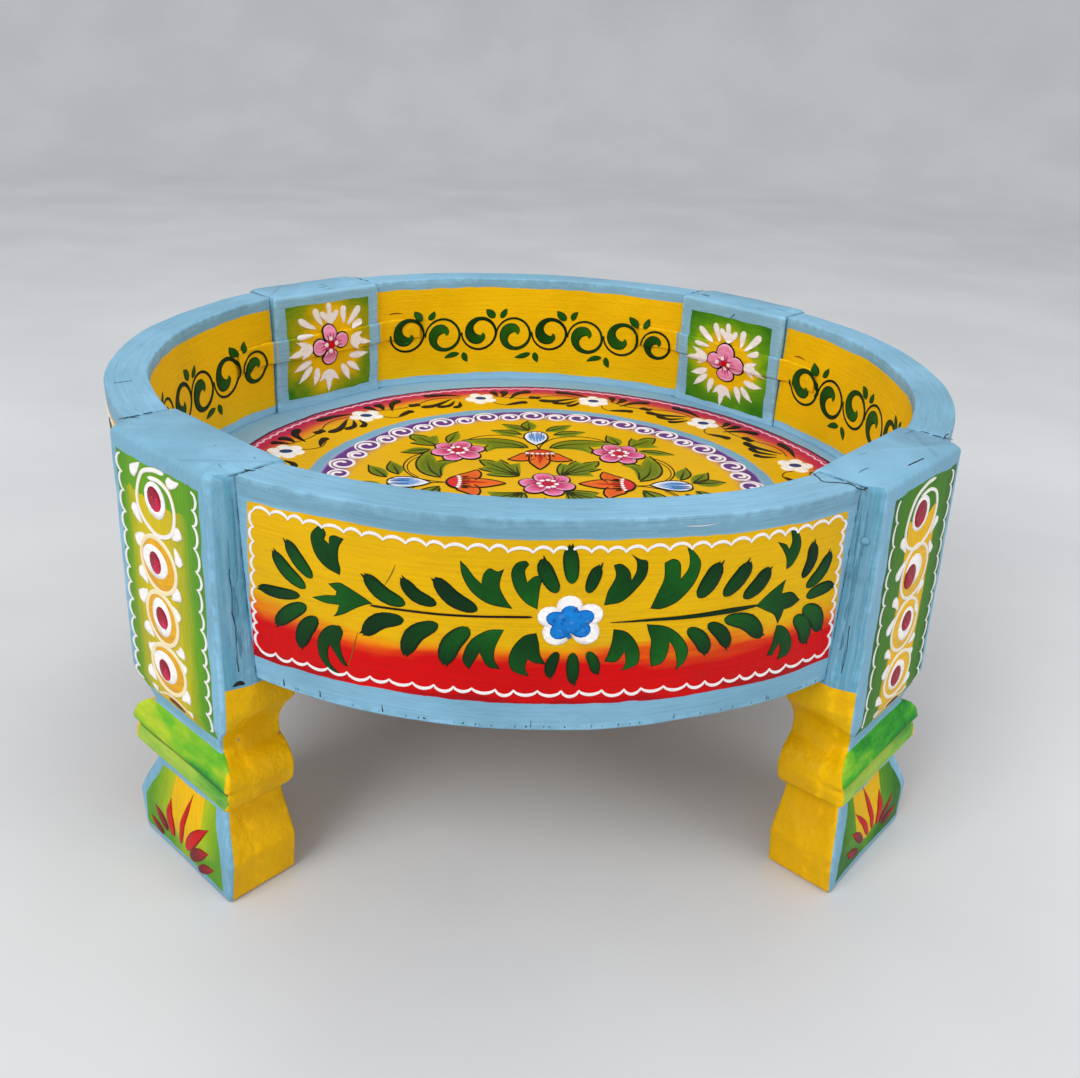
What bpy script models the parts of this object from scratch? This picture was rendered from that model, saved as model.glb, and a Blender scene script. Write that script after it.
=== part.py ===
"""A round low table: four carved legs, four curved rim segments tenoned between them, and a sunken board.

Units are metres and +Z is up. The table stands on z = 0 with its centre on the Z axis.
A leg's own axes are u, outwards from the table's centre, v, across the leg, and z.
"""
import math

import bmesh
import bpy
from mathutils import Matrix, Vector

# Overall
TABLE_HEIGHT = 0.280
RIM_OUTER_RADIUS = 0.300
RIM_WALL = 0.027
RIM_DEPTH = 0.126
RIM_DRAFT = 0.004            # the rim's outer face draws in this much at its lower edge
RIM_EDGE_RADIUS = 0.003
ROUND_STEPS = 3              # facets of a rounded rim edge
RING_STEPS = 96              # facets around a full circle

# Leg posts
POST_WIDTH = 0.114
POST_PROUD_OUTSIDE = 0.0065  # outer face beyond the rim's outer circle, at the top
POST_PROUD_INSIDE = 0.011    # inner face inside the rim's inner circle, at the top
POST_FACE_INSET = 0.005      # the outer face is narrower than the post by this, each side
POST_FLARE_DEPTH = 0.0115    # length of the tapered flank beside the outer face
POST_TOP_CHAMFER = 0.002
LEG_LEAN = 0.0065            # the foot stands this much further out than the top

# Carved lower leg, heights above the floor
FOOT_WIDEST_HEIGHT = 0.029
FOOT_HEIGHT = 0.057
UNDERCUT_HEIGHT = 0.012      # from the lower neck up to the bead's lower band
LOWER_BAND_HEIGHT = 0.0105
UPPER_ROLL_HEIGHT = 0.021
NECK_BAND = 0.0025
SHOULDER_HEIGHT = 0.019
FOOT_SOLE_HALF = 0.050
FOOT_WIDEST_HALF = 0.054
LOWER_NECK_HALF = 0.040
UPPER_NECK_HALF = 0.038
BEAD_HALF = 0.055
BEAD_GROOVE = 0.0022
NECK_RECESS = 0.0055         # outer face steps back this much at both necks
BEAD_PROUD = 0.001           # bead and foot stand this much before the outer face
BAND_SHAPE = ((0.0, 0.75), (0.2, 1.0), (0.75, 1.0))  # share of the band's height, and its stand there
ROLL_TURNS = (0, 20, 40, 60, 78, 90)                 # the upper roll is a quarter oval, in degrees

# Rim joints
TENON_THICKNESS = 0.012
TENON_LENGTH = 0.025
TENON_HEIGHT = 0.070
TENON_ROOT = 0.010           # how far the tenon runs back into the rim segment
PEG_DIAMETER = 0.008
PEG_PAST_TENON = 0.008

# Sunken board
BOARD_THICKNESS = 0.010
BOARD_LIFT = 0.011           # underside of the board above the rim's lower edge
BOARD_HOUSING = 0.006        # how far the board's edge enters its groove
PLANK_COUNT = 4
BATTEN_WIDTH = 0.050
BATTEN_THICKNESS = 0.0105
BATTEN_OFFSET = 0.095        # batten's centre line from the table's centre
BATTEN_END_GAP = 0.008
BATTEN_CHAMFER = 0.0015

# Iron straps across the legs' inner faces
STRAP_DROP = 0.048           # strap's centre line below the table top
STRAP_HEIGHT = 0.020
STRAP_THICKNESS = 0.0015
STRAP_REACH = 0.045          # length along the rim, past the post
STRAP_BRIDGE = 0.009         # width of the sloping step beside the post
STRAP_NAIL_INSET = 0.010     # end nails from the strap's ends
STRAP_NAIL_SPREAD = 0.022    # post nails from the leg's centre line
ARC_STEP = math.radians(2.5)

# Nails
NAIL_HEAD_RADIUS = 0.0035
NAIL_HEAD_HEIGHT = 0.0018
NAIL_SHANK_RADIUS = 0.00125
NAIL_POINT = 0.003
STRAP_NAIL_LENGTH = 0.018
BATTEN_NAIL_LENGTH = 0.017
NAIL_STEPS = 12
DOME_TURNS = (0, 30, 60, 90)  # points of a head's dome, from its top to its edge, in degrees

# Clearances
JOINT_GAP = 0.0003
CUT_MARGIN = 0.005           # how far a cutter runs past the face it cuts

# Worked out from the sizes above
RIM_INNER_RADIUS = RIM_OUTER_RADIUS - RIM_WALL
RIM_BOTTOM = TABLE_HEIGHT - RIM_DEPTH
POST_HALF = POST_WIDTH / 2
SEAM_HALF = POST_HALF + JOINT_GAP
BOARD_BOTTOM = RIM_BOTTOM + BOARD_LIFT
BOARD_TOP = BOARD_BOTTOM + BOARD_THICKNESS
BOARD_RADIUS = RIM_INNER_RADIUS + BOARD_HOUSING
BATTEN_TOP = BOARD_BOTTOM - JOINT_GAP
BATTEN_BOTTOM = BATTEN_TOP - BATTEN_THICKNESS
BATTEN_NAIL_SEAT = BATTEN_BOTTOM - JOINT_GAP
STRAP_Z = TABLE_HEIGHT - STRAP_DROP
BAND_BOTTOM = FOOT_HEIGHT + UNDERCUT_HEIGHT
GROOVE_Z = BAND_BOTTOM + LOWER_BAND_HEIGHT
BEAD_TOP = GROOVE_Z + UPPER_ROLL_HEIGHT
SHOULDER_BOTTOM = BEAD_TOP + NECK_BAND
SHOULDER_TOP = SHOULDER_BOTTOM + SHOULDER_HEIGHT
POST_STAND = NECK_RECESS / (NECK_RECESS + BEAD_PROUD)
TENON_MID_RADIUS = (RIM_INNER_RADIUS + RIM_OUTER_RADIUS - RIM_DRAFT) / 2
TENON_MID_U = math.sqrt(TENON_MID_RADIUS ** 2 - POST_HALF ** 2)
PEG_V = SEAM_HALF - TENON_LENGTH / 2
PEG_END_U = TENON_MID_U + TENON_THICKNESS / 2 + PEG_PAST_TENON
SEAM_ANGLE = math.asin(SEAM_HALF / RIM_INNER_RADIUS)
STRAP_END_ANGLE = SEAM_ANGLE + STRAP_REACH / RIM_INNER_RADIUS
STRAP_NAIL_ANGLE = STRAP_END_ANGLE - STRAP_NAIL_INSET / RIM_INNER_RADIUS
CUT_SPAN = 2 * (RIM_OUTER_RADIUS + TABLE_HEIGHT)

LEG_ANGLES = {"front_left": 225, "front_right": 315, "back_right": 45, "back_left": 135}
RIM_ANGLES = {"front": 270, "right": 0, "back": 90, "left": 180}
QUARTER = math.radians(45)


def inner_face(z):
    """Distance of a leg's inner face from the table's centre at a height."""
    return RIM_INNER_RADIUS - POST_PROUD_INSIDE + LEG_LEAN * (1 - z / TABLE_HEIGHT)


def outer_face(z):
    """Distance of a leg's outer face from the table's centre at a height."""
    return RIM_OUTER_RADIUS + POST_PROUD_OUTSIDE + LEG_LEAN * (1 - z / TABLE_HEIGHT)


BOARD_FLAT = inner_face((BOARD_BOTTOM + BOARD_TOP) / 2) + BOARD_HOUSING
STRAP_FACE = inner_face(STRAP_Z + STRAP_HEIGHT / 2) - JOINT_GAP


def new_collection(name):
    collection = bpy.data.collections.new(name)
    bpy.context.scene.collection.children.link(collection)
    return collection


def make_material(name, colour, roughness, metallic=0.0):
    material = bpy.data.materials.new(name)
    material.use_nodes = True
    shader = material.node_tree.nodes["Principled BSDF"]
    shader.inputs["Base Color"].default_value = (*colour, 1.0)
    shader.inputs["Roughness"].default_value = roughness
    shader.inputs["Metallic"].default_value = metallic
    return material


def mesh_of(name, build):
    """A mesh filled by a function that takes an empty bmesh."""
    mesh = bpy.data.meshes.new(name)
    bm = bmesh.new()
    build(bm)
    bm.to_mesh(mesh)
    bm.free()
    return mesh


def add_box(bm, low, high, turn=None):
    """A box between two corners, turned about the Z axis if asked."""
    size = Vector(high) - Vector(low)
    place = Matrix.Translation((Vector(low) + Vector(high)) / 2) @ Matrix.Diagonal((*size, 1.0))
    if turn is not None:
        place = Matrix.Rotation(turn, 4, "Z") @ place
    bmesh.ops.create_cube(bm, size=1.0, matrix=place)


def add_rod(bm, start, end, radius, steps):
    """A capped cylinder between two points."""
    start = Vector(start)
    axis = Vector(end) - start
    turn = axis.to_track_quat("Z", "Y").to_matrix().to_4x4()
    place = Matrix.Translation(start + axis / 2) @ turn
    bmesh.ops.create_cone(bm, cap_ends=True, segments=steps, radius1=radius, radius2=radius,
                          depth=axis.length, matrix=place)


def prism_mesh(name, outline, depth, place):
    """A closed outline in its own XY plane, extruded to a depth about that plane and then placed."""
    curve = bpy.data.curves.new(name, "CURVE")
    curve.dimensions = "2D"
    curve.fill_mode = "BOTH"
    curve.extrude = depth / 2
    spline = curve.splines.new("POLY")
    spline.points.add(len(outline) - 1)
    for point, (x, y) in zip(spline.points, outline):
        point.co = (x, y, 0.0, 1.0)
    spline.use_cyclic_u = True
    holder = bpy.data.objects.new(name, curve)
    bpy.context.scene.collection.objects.link(holder)
    graph = bpy.context.evaluated_depsgraph_get()
    mesh = bpy.data.meshes.new_from_object(holder.evaluated_get(graph))
    bpy.data.objects.remove(holder)
    mesh.name = name
    mesh.transform(place)
    bm = bmesh.new()
    bm.from_mesh(mesh)
    bmesh.ops.remove_doubles(bm, verts=bm.verts, dist=1e-6)
    bmesh.ops.recalc_face_normals(bm, faces=bm.faces)
    bm.to_mesh(mesh)
    bm.free()
    return mesh


def profile_mesh(name, points, closed):
    """A row of edges in the XZ plane, for a turned shape."""
    mesh = bpy.data.meshes.new(name)
    vertices = [(r, 0.0, z) for r, z in points]
    edges = [(i, i + 1) for i in range(len(points) - 1)]
    if closed:
        edges.append((len(points) - 1, 0))
    mesh.from_pydata(vertices, edges, [])
    return mesh


def add_object(name, mesh, collection, material=None, parent=None, location=(0, 0, 0), turn=(0, 0, 0)):
    """An object for a mesh. A mesh that several objects share keeps its first material."""
    if material is not None and not mesh.materials:
        mesh.materials.append(material)
    piece = bpy.data.objects.new(name, mesh)
    collection.objects.link(piece)
    piece.parent = parent
    piece.location = location
    piece.rotation_euler = turn
    return piece


def add_cutter(name, mesh, parent=None, turn=(0, 0, 0)):
    cutter = add_object(name, mesh, CUTTERS, parent=parent, turn=turn)
    cutter.hide_render = True
    cutter.display_type = "WIRE"
    return cutter


def add_boolean(piece, cutter, operation):
    boolean = piece.modifiers.new(cutter.name, "BOOLEAN")
    boolean.operation = operation
    boolean.solver = "EXACT"
    boolean.object = cutter


def add_turning(piece, steps):
    """Turns a piece's profile about its own Z axis."""
    screw = piece.modifiers.new("Turning", "SCREW")
    screw.axis = "Z"
    screw.angle = math.tau
    screw.steps = steps
    screw.render_steps = steps
    screw.use_merge_vertices = True
    screw.merge_threshold = 1e-5
    screw.use_smooth_shade = True


def arc_points(centre, radius, start, end, steps):
    """Points on an arc, angles in degrees."""
    angles = [math.radians(start + (end - start) * i / steps) for i in range(steps + 1)]
    return [(centre[0] + radius * math.cos(a), centre[1] + radius * math.sin(a)) for a in angles]


def rim_profile():
    """The rim's section in radius and height: down the outer face, then up past the groove."""
    round_off = RIM_EDGE_RADIUS
    top_outer = (RIM_OUTER_RADIUS - round_off, TABLE_HEIGHT - round_off)
    bottom_outer = (RIM_OUTER_RADIUS - RIM_DRAFT - round_off, RIM_BOTTOM + round_off)
    top_inner = (RIM_INNER_RADIUS + round_off, TABLE_HEIGHT - round_off)
    groove_radius = BOARD_RADIUS + JOINT_GAP
    groove = [
        (RIM_INNER_RADIUS, BOARD_BOTTOM - JOINT_GAP),
        (groove_radius, BOARD_BOTTOM - JOINT_GAP),
        (groove_radius, BOARD_TOP + JOINT_GAP),
        (RIM_INNER_RADIUS, BOARD_TOP + JOINT_GAP),
    ]
    points = arc_points(top_outer, round_off, 90, 0, ROUND_STEPS)
    points += arc_points(bottom_outer, round_off, 0, -90, ROUND_STEPS)
    points.append((RIM_INNER_RADIUS, RIM_BOTTOM))
    points += groove
    points += arc_points(top_inner, round_off, 180, 90, ROUND_STEPS)
    return points


def lower_leg_levels():
    """The carved lower leg, floor up: height, half width, and the outer face's stand, 0 at a neck."""
    levels = [
        (0.0, FOOT_SOLE_HALF, 1.0),
        (FOOT_WIDEST_HEIGHT, FOOT_WIDEST_HALF, 1.0),
        (FOOT_HEIGHT, LOWER_NECK_HALF, 0.0),
    ]
    band_swell = BEAD_HALF - LOWER_NECK_HALF
    groove_stand = 1.0 - BEAD_GROOVE / band_swell
    for share, stand in BAND_SHAPE:
        height = BAND_BOTTOM + share * LOWER_BAND_HEIGHT
        levels.append((height, LOWER_NECK_HALF + stand * band_swell, stand))
    levels.append((GROOVE_Z, LOWER_NECK_HALF + groove_stand * band_swell, groove_stand))
    roll_swell = BEAD_HALF - UPPER_NECK_HALF
    waist = GROOVE_Z + BEAD_GROOVE
    for turn in ROLL_TURNS:
        stand = math.cos(math.radians(turn))
        rise = math.sin(math.radians(turn))
        height = waist + (BEAD_TOP - waist) * rise
        levels.append((height, UPPER_NECK_HALF + stand * roll_swell, stand))
    levels.append((SHOULDER_BOTTOM, UPPER_NECK_HALF, 0.0))
    levels.append((SHOULDER_TOP, POST_HALF, POST_STAND))
    return levels


def leg_front_outline():
    """The leg seen from outside: half width against height, mirrored."""
    half = [(width, z) for z, width, _ in lower_leg_levels()]
    half.append((POST_HALF, TABLE_HEIGHT - POST_TOP_CHAMFER))
    half.append((POST_HALF - POST_TOP_CHAMFER, TABLE_HEIGHT))
    return half + [(-v, z) for v, z in reversed(half)]


def leg_side_outline():
    """The leg seen from its side: up the outer edge, then down the inner edge past the board's groove."""
    swell = NECK_RECESS + BEAD_PROUD
    outer = [(outer_face(z) - NECK_RECESS + stand * swell, z) for z, _, stand in lower_leg_levels()]
    chamfer_z = TABLE_HEIGHT - POST_TOP_CHAMFER
    outer.append((outer_face(chamfer_z), chamfer_z))
    outer.append((outer_face(TABLE_HEIGHT) - POST_TOP_CHAMFER, TABLE_HEIGHT))
    groove_top = BOARD_TOP + JOINT_GAP
    groove_bottom = BOARD_BOTTOM - JOINT_GAP
    inner = [
        (inner_face(TABLE_HEIGHT) + POST_TOP_CHAMFER, TABLE_HEIGHT),
        (inner_face(chamfer_z), chamfer_z),
        (inner_face(groove_top), groove_top),
        (BOARD_FLAT + JOINT_GAP, groove_top),
        (BOARD_FLAT + JOINT_GAP, groove_bottom),
        (inner_face(groove_bottom), groove_bottom),
        (inner_face(0.0), 0.0),
    ]
    return outer + inner


def flank_outline(side):
    """What is taken off a post beside its outer face, seen from above: its flank tapers to the face."""
    start = RIM_OUTER_RADIUS + POST_PROUD_OUTSIDE - POST_FLARE_DEPTH
    end = outer_face(0.0) + CUT_MARGIN
    inset = POST_FACE_INSET * (end - start) / POST_FLARE_DEPTH
    return [
        (start, side * POST_HALF),
        (end, side * (POST_HALF - inset)),
        (end, side * (POST_HALF + CUT_MARGIN)),
        (start, side * (POST_HALF + CUT_MARGIN)),
    ]


def tenon_box(bm, side, spare, turn=None):
    """One tenon in a leg's axes. Its mortise is the same box with spare room, open at the post's side."""
    u_low = TENON_MID_U - TENON_THICKNESS / 2 - spare
    u_high = TENON_MID_U + TENON_THICKNESS / 2 + spare
    v_ends = sorted((side * (SEAM_HALF - TENON_LENGTH - spare), side * (SEAM_HALF + TENON_ROOT)))
    z_low = STRAP_Z - TENON_HEIGHT / 2 - spare
    z_high = STRAP_Z + TENON_HEIGHT / 2 + spare
    add_box(bm, (u_low, v_ends[0], z_low), (u_high, v_ends[1], z_high), turn)


def peg_bore(bm, side, turn=0.0):
    """The bore for a tenon's peg, in from the leg's inner face."""
    place = Matrix.Rotation(turn, 3, "Z")
    start = Vector((inner_face(TABLE_HEIGHT) - CUT_MARGIN, side * PEG_V, STRAP_Z))
    end = Vector((PEG_END_U + JOINT_GAP, side * PEG_V, STRAP_Z))
    add_rod(bm, place @ start, place @ end, PEG_DIAMETER / 2 + JOINT_GAP, NAIL_STEPS)


def strap_nail_seats():
    """Each strap nail in a leg's axes: the seat under its head, and the direction of its shank."""
    seats = []
    post_seat = STRAP_FACE - STRAP_THICKNESS - JOINT_GAP
    rim_seat = RIM_INNER_RADIUS - STRAP_THICKNESS - 2 * JOINT_GAP
    for side in (-1, 1):
        seats.append((Vector((post_seat, side * STRAP_NAIL_SPREAD, STRAP_Z)), 0.0))
        angle = side * STRAP_NAIL_ANGLE
        seats.append((Vector((rim_seat * math.cos(angle), rim_seat * math.sin(angle), STRAP_Z)), angle))
    return seats


def strap_nail_bores(bm, turn=0.0):
    """Bores for one strap's four nails, from inside the strap to past the points."""
    place = Matrix.Rotation(turn, 3, "Z")
    for seat, angle in strap_nail_seats():
        direction = Vector((math.cos(angle), math.sin(angle), 0.0))
        start = seat - direction * CUT_MARGIN
        end = seat + direction * (STRAP_NAIL_LENGTH + JOINT_GAP)
        add_rod(bm, place @ start, place @ end, NAIL_SHANK_RADIUS + JOINT_GAP, NAIL_STEPS)


def build_legs():
    upright = Matrix(((0, 0, 1, 0), (1, 0, 0, 0), (0, 1, 0, 0), (0, 0, 0, 1)))
    sideways = Matrix(((1, 0, 0, 0), (0, 0, -1, 0), (0, 1, 0, 0), (0, 0, 0, 1)))
    front = prism_mesh("leg_front", leg_front_outline(), CUT_SPAN, upright)
    side = prism_mesh("leg_side", leg_side_outline(), CUT_SPAN, sideways)
    flank_height = TABLE_HEIGHT + CUT_MARGIN - SHOULDER_BOTTOM
    flank_place = Matrix.Translation((0, 0, SHOULDER_BOTTOM + flank_height / 2))
    flanks = [prism_mesh("leg_flank", flank_outline(hand), flank_height, flank_place) for hand in (-1, 1)]

    def mortises(bm):
        tenon_box(bm, -1, JOINT_GAP)
        tenon_box(bm, 1, JOINT_GAP)

    def bores(bm):
        peg_bore(bm, -1)
        peg_bore(bm, 1)
        strap_nail_bores(bm)

    mortise_mesh = mesh_of("leg_mortises", mortises)
    bore_mesh = mesh_of("leg_bores", bores)
    for place, empty in POSTS.items():
        leg = add_object("leg_" + place, front, PARTS, BLUE_PAINT, empty)
        add_boolean(leg, add_cutter("side_" + place, side, empty), "INTERSECT")
        for number, flank in enumerate(flanks, start=1):
            add_boolean(leg, add_cutter(f"flank_{place}_{number}", flank, empty), "DIFFERENCE")
        add_boolean(leg, add_cutter("mortises_" + place, mortise_mesh, empty), "DIFFERENCE")
        add_boolean(leg, add_cutter("bores_" + place, bore_mesh, empty), "DIFFERENCE")


def build_rims():
    profile = profile_mesh("rim_profile", rim_profile(), closed=True)

    def wedge(bm):
        apex = SEAM_HALF * math.sqrt(2)
        corner = Matrix.Translation((apex, 0, 0)) @ Matrix.Rotation(-QUARTER, 4, "Z")
        reach = RIM_OUTER_RADIUS
        add_box(bm, (0, 0, RIM_BOTTOM - CUT_MARGIN), (reach, reach, TABLE_HEIGHT + CUT_MARGIN))
        bmesh.ops.transform(bm, matrix=corner, verts=bm.verts)

    def tenons(bm):
        tenon_box(bm, 1, 0.0, -QUARTER)
        tenon_box(bm, -1, 0.0, QUARTER)

    def bores(bm):
        for side in (-1, 1):
            peg_bore(bm, side, -side * QUARTER)
            strap_nail_bores(bm, -side * QUARTER)

    wedge_mesh = mesh_of("rim_wedge", wedge)
    tenon_mesh = mesh_of("rim_tenons", tenons)
    bore_mesh = mesh_of("rim_bores", bores)
    for place, angle in RIM_ANGLES.items():
        turn = (0, 0, math.radians(angle))
        rim = add_object("rim_" + place, profile, PARTS, YELLOW_PAINT, turn=turn)
        add_turning(rim, RING_STEPS)
        add_boolean(rim, add_cutter("wedge_" + place, wedge_mesh, turn=turn), "INTERSECT")
        add_boolean(rim, add_cutter("tenons_" + place, tenon_mesh, turn=turn), "UNION")
        add_boolean(rim, add_cutter("rim_bores_" + place, bore_mesh, turn=turn), "DIFFERENCE")


def build_pegs():
    def rod(bm):
        start = (inner_face(STRAP_Z) + JOINT_GAP, 0, 0)
        add_rod(bm, start, (PEG_END_U, 0, 0), PEG_DIAMETER / 2, NAIL_STEPS)

    peg_mesh = mesh_of("tenon_peg", rod)
    for place, empty in POSTS.items():
        for number, side in enumerate((-1, 1), start=1):
            name = f"tenon_peg_{place}_{number}"
            add_object(name, peg_mesh, PARTS, BARE_WOOD, empty, (0, side * PEG_V, STRAP_Z))


def strap_path():
    """The strap's wood side from above, in a leg's axes: rim, step, post, and back the same way."""
    radius = RIM_INNER_RADIUS - JOINT_GAP
    landing = math.asin((SEAM_HALF + STRAP_BRIDGE) / radius)
    steps = max(2, round((STRAP_END_ANGLE - landing) / ARC_STEP))
    angles = [landing + (STRAP_END_ANGLE - landing) * i / steps for i in range(steps + 1)]
    half = [(STRAP_FACE, POST_HALF)]
    half += [(radius * math.cos(a), radius * math.sin(a)) for a in angles]
    return [(u, -v) for u, v in reversed(half)] + half


def offset_path(points, distance):
    """A path moved sideways, to the left of its direction, with its corners mitred."""
    moved = []
    for i, point in enumerate(points):
        here = Vector(point)
        before = Vector(points[max(i - 1, 0)])
        after = Vector(points[min(i + 1, len(points) - 1)])
        sides = []
        for run in (here - before, after - here):
            if run.length > 0:
                sides.append(Vector((-run.y, run.x)).normalized())
        middle = sum(sides, Vector((0.0, 0.0))).normalized()
        moved.append(here + middle * distance / middle.dot(sides[0]))
    return [tuple(point) for point in moved]


def nail_mesh(name, length):
    """A nail's profile about its own Z axis, with the underside of its domed head on z = 0."""
    dome = [
        (NAIL_HEAD_RADIUS * math.sin(math.radians(a)), NAIL_HEAD_HEIGHT * math.cos(math.radians(a)))
        for a in DOME_TURNS
    ]
    shank = [
        (NAIL_SHANK_RADIUS, 0.0),
        (NAIL_SHANK_RADIUS, NAIL_POINT - length),
        (0.0, -length),
    ]
    return profile_mesh(name, dome + shank, closed=False)


def add_nail(name, mesh, parent, location, turn):
    nail = add_object(name, mesh, PARTS, IRON, parent, location, turn)
    add_turning(nail, NAIL_STEPS)


def build_straps():
    path = strap_path()
    outline = path + list(reversed(offset_path(path, STRAP_THICKNESS)))
    band = prism_mesh("strap", outline, STRAP_HEIGHT, Matrix.Translation((0, 0, STRAP_Z)))
    bore_mesh = mesh_of("strap_bores", strap_nail_bores)
    nails = nail_mesh("strap_nail", STRAP_NAIL_LENGTH)
    for place, empty in POSTS.items():
        strap = add_object("strap_" + place, band, PARTS, STRAP_PAINT, empty)
        add_boolean(strap, add_cutter("strap_bores_" + place, bore_mesh, empty), "DIFFERENCE")
        for number, (seat, angle) in enumerate(strap_nail_seats(), start=1):
            turn = (0, -math.pi / 2, angle)
            add_nail(f"strap_nail_{place}_{number}", nails, empty, seat, turn)


def plank_edges():
    """Low and high edge of each plank, across the board."""
    pitch = 2 * BOARD_RADIUS / PLANK_COUNT
    edges = []
    for k in range(PLANK_COUNT):
        low = -BOARD_RADIUS + k * pitch
        edges.append((low + JOINT_GAP / 2, low + pitch - JOINT_GAP / 2))
    return edges


def build_board():
    def disc(bm):
        low = (0, 0, BOARD_BOTTOM - CUT_MARGIN)
        high = (0, 0, BOARD_TOP + CUT_MARGIN)
        add_rod(bm, low, high, BOARD_RADIUS, RING_STEPS)

    def flats(bm):
        low = (BOARD_FLAT, -SEAM_HALF, BOARD_BOTTOM - 2 * CUT_MARGIN)
        high = (RIM_OUTER_RADIUS, SEAM_HALF, BOARD_TOP + 2 * CUT_MARGIN)
        for angle in LEG_ANGLES.values():
            add_box(bm, low, high, math.radians(angle))

    def bores(bm):
        for x in (-BATTEN_OFFSET, BATTEN_OFFSET):
            for low, high in plank_edges():
                start = Vector((x, (low + high) / 2, BATTEN_BOTTOM - CUT_MARGIN))
                end = Vector((x, (low + high) / 2, BATTEN_NAIL_SEAT + BATTEN_NAIL_LENGTH + JOINT_GAP))
                add_rod(bm, start, end, NAIL_SHANK_RADIUS + JOINT_GAP, NAIL_STEPS)

    blank = add_cutter("board_blank", mesh_of("board_blank", disc))
    add_boolean(blank, add_cutter("board_flats", mesh_of("board_flats", flats)), "DIFFERENCE")
    bore_cutter = add_cutter("board_bores", mesh_of("board_bores", bores))
    for number, (low, high) in enumerate(plank_edges(), start=1):
        def plank_box(bm):
            reach = RIM_OUTER_RADIUS
            add_box(bm, (-reach, low, BOARD_BOTTOM), (reach, high, BOARD_TOP))

        name = f"board_plank_{number}"
        plank = add_object(name, mesh_of(name, plank_box), PARTS, YELLOW_PAINT)
        add_boolean(plank, blank, "INTERSECT")
        add_boolean(plank, bore_cutter, "DIFFERENCE")

    outer_corner = BATTEN_OFFSET + BATTEN_WIDTH / 2
    half_length = math.sqrt(RIM_INNER_RADIUS ** 2 - outer_corner ** 2) - BATTEN_END_GAP
    nails = nail_mesh("batten_nail", BATTEN_NAIL_LENGTH)

    def batten_box(bm):
        low = (-BATTEN_WIDTH / 2, -half_length, BATTEN_BOTTOM)
        add_box(bm, low, (BATTEN_WIDTH / 2, half_length, BATTEN_TOP))

    batten_mesh = mesh_of("batten", batten_box)
    for place, side in (("left", -1), ("right", 1)):
        centre = (side * BATTEN_OFFSET, 0, 0)
        batten = add_object("batten_" + place, batten_mesh, PARTS, BARE_WOOD, location=centre)
        bevel = batten.modifiers.new("Chamfer", "BEVEL")
        bevel.width = BATTEN_CHAMFER
        bevel.segments = 1
        add_boolean(batten, bore_cutter, "DIFFERENCE")
        for number, (low, high) in enumerate(plank_edges(), start=1):
            seat = (side * BATTEN_OFFSET, (low + high) / 2, BATTEN_NAIL_SEAT)
            add_nail(f"batten_nail_{place}_{number}", nails, None, seat, (math.pi, 0, 0))


for old in list(bpy.data.objects):
    bpy.data.objects.remove(old)

PARTS = new_collection("painted_round_table")
CUTTERS = new_collection("cutters")
BLUE_PAINT = make_material("sky_blue_paint", (0.26, 0.52, 0.74), 0.45)
YELLOW_PAINT = make_material("golden_yellow_paint", (0.80, 0.48, 0.01), 0.45)
STRAP_PAINT = make_material("painted_iron_strap", (0.24, 0.48, 0.70), 0.5)
BARE_WOOD = make_material("bare_wood", (0.33, 0.20, 0.10), 0.75)
IRON = make_material("nail_iron", (0.20, 0.20, 0.21), 0.5, 1.0)

POSTS = {}
for leg_place, leg_angle in LEG_ANGLES.items():
    post_empty = bpy.data.objects.new("post_" + leg_place, None)
    PARTS.objects.link(post_empty)
    post_empty.rotation_euler.z = math.radians(leg_angle)
    POSTS[leg_place] = post_empty

build_legs()
build_rims()
build_pegs()
build_straps()
build_board()
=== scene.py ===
"""The looks of a round painted low table: brushed paint on hand-cut wood, raised brushwork and a studio.

Lengths are metres and +Z is up. A painted sheet is drawn in millimetres, then laid on its surface.
A leg's own axes are u, outwards from the table's centre, v, across the leg, and z.
"""
import math
import random

import bmesh
import bpy
import numpy as np
from mathutils import Matrix, Vector, geometry, noise


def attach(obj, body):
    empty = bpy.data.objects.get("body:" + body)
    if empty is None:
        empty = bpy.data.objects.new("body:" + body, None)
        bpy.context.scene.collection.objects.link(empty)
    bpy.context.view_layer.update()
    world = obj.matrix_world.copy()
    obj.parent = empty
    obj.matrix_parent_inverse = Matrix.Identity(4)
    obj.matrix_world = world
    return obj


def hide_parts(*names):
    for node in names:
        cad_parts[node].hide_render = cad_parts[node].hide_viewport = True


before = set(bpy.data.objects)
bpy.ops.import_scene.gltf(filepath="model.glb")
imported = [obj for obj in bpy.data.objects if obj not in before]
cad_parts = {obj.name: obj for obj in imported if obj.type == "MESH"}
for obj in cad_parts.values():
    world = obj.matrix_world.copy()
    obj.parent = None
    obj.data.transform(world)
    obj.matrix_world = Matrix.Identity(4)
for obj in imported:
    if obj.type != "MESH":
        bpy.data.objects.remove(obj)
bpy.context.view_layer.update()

MM = 0.001
UNEVEN_SEED = 7
noise.seed_set(UNEVEN_SEED)

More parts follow.
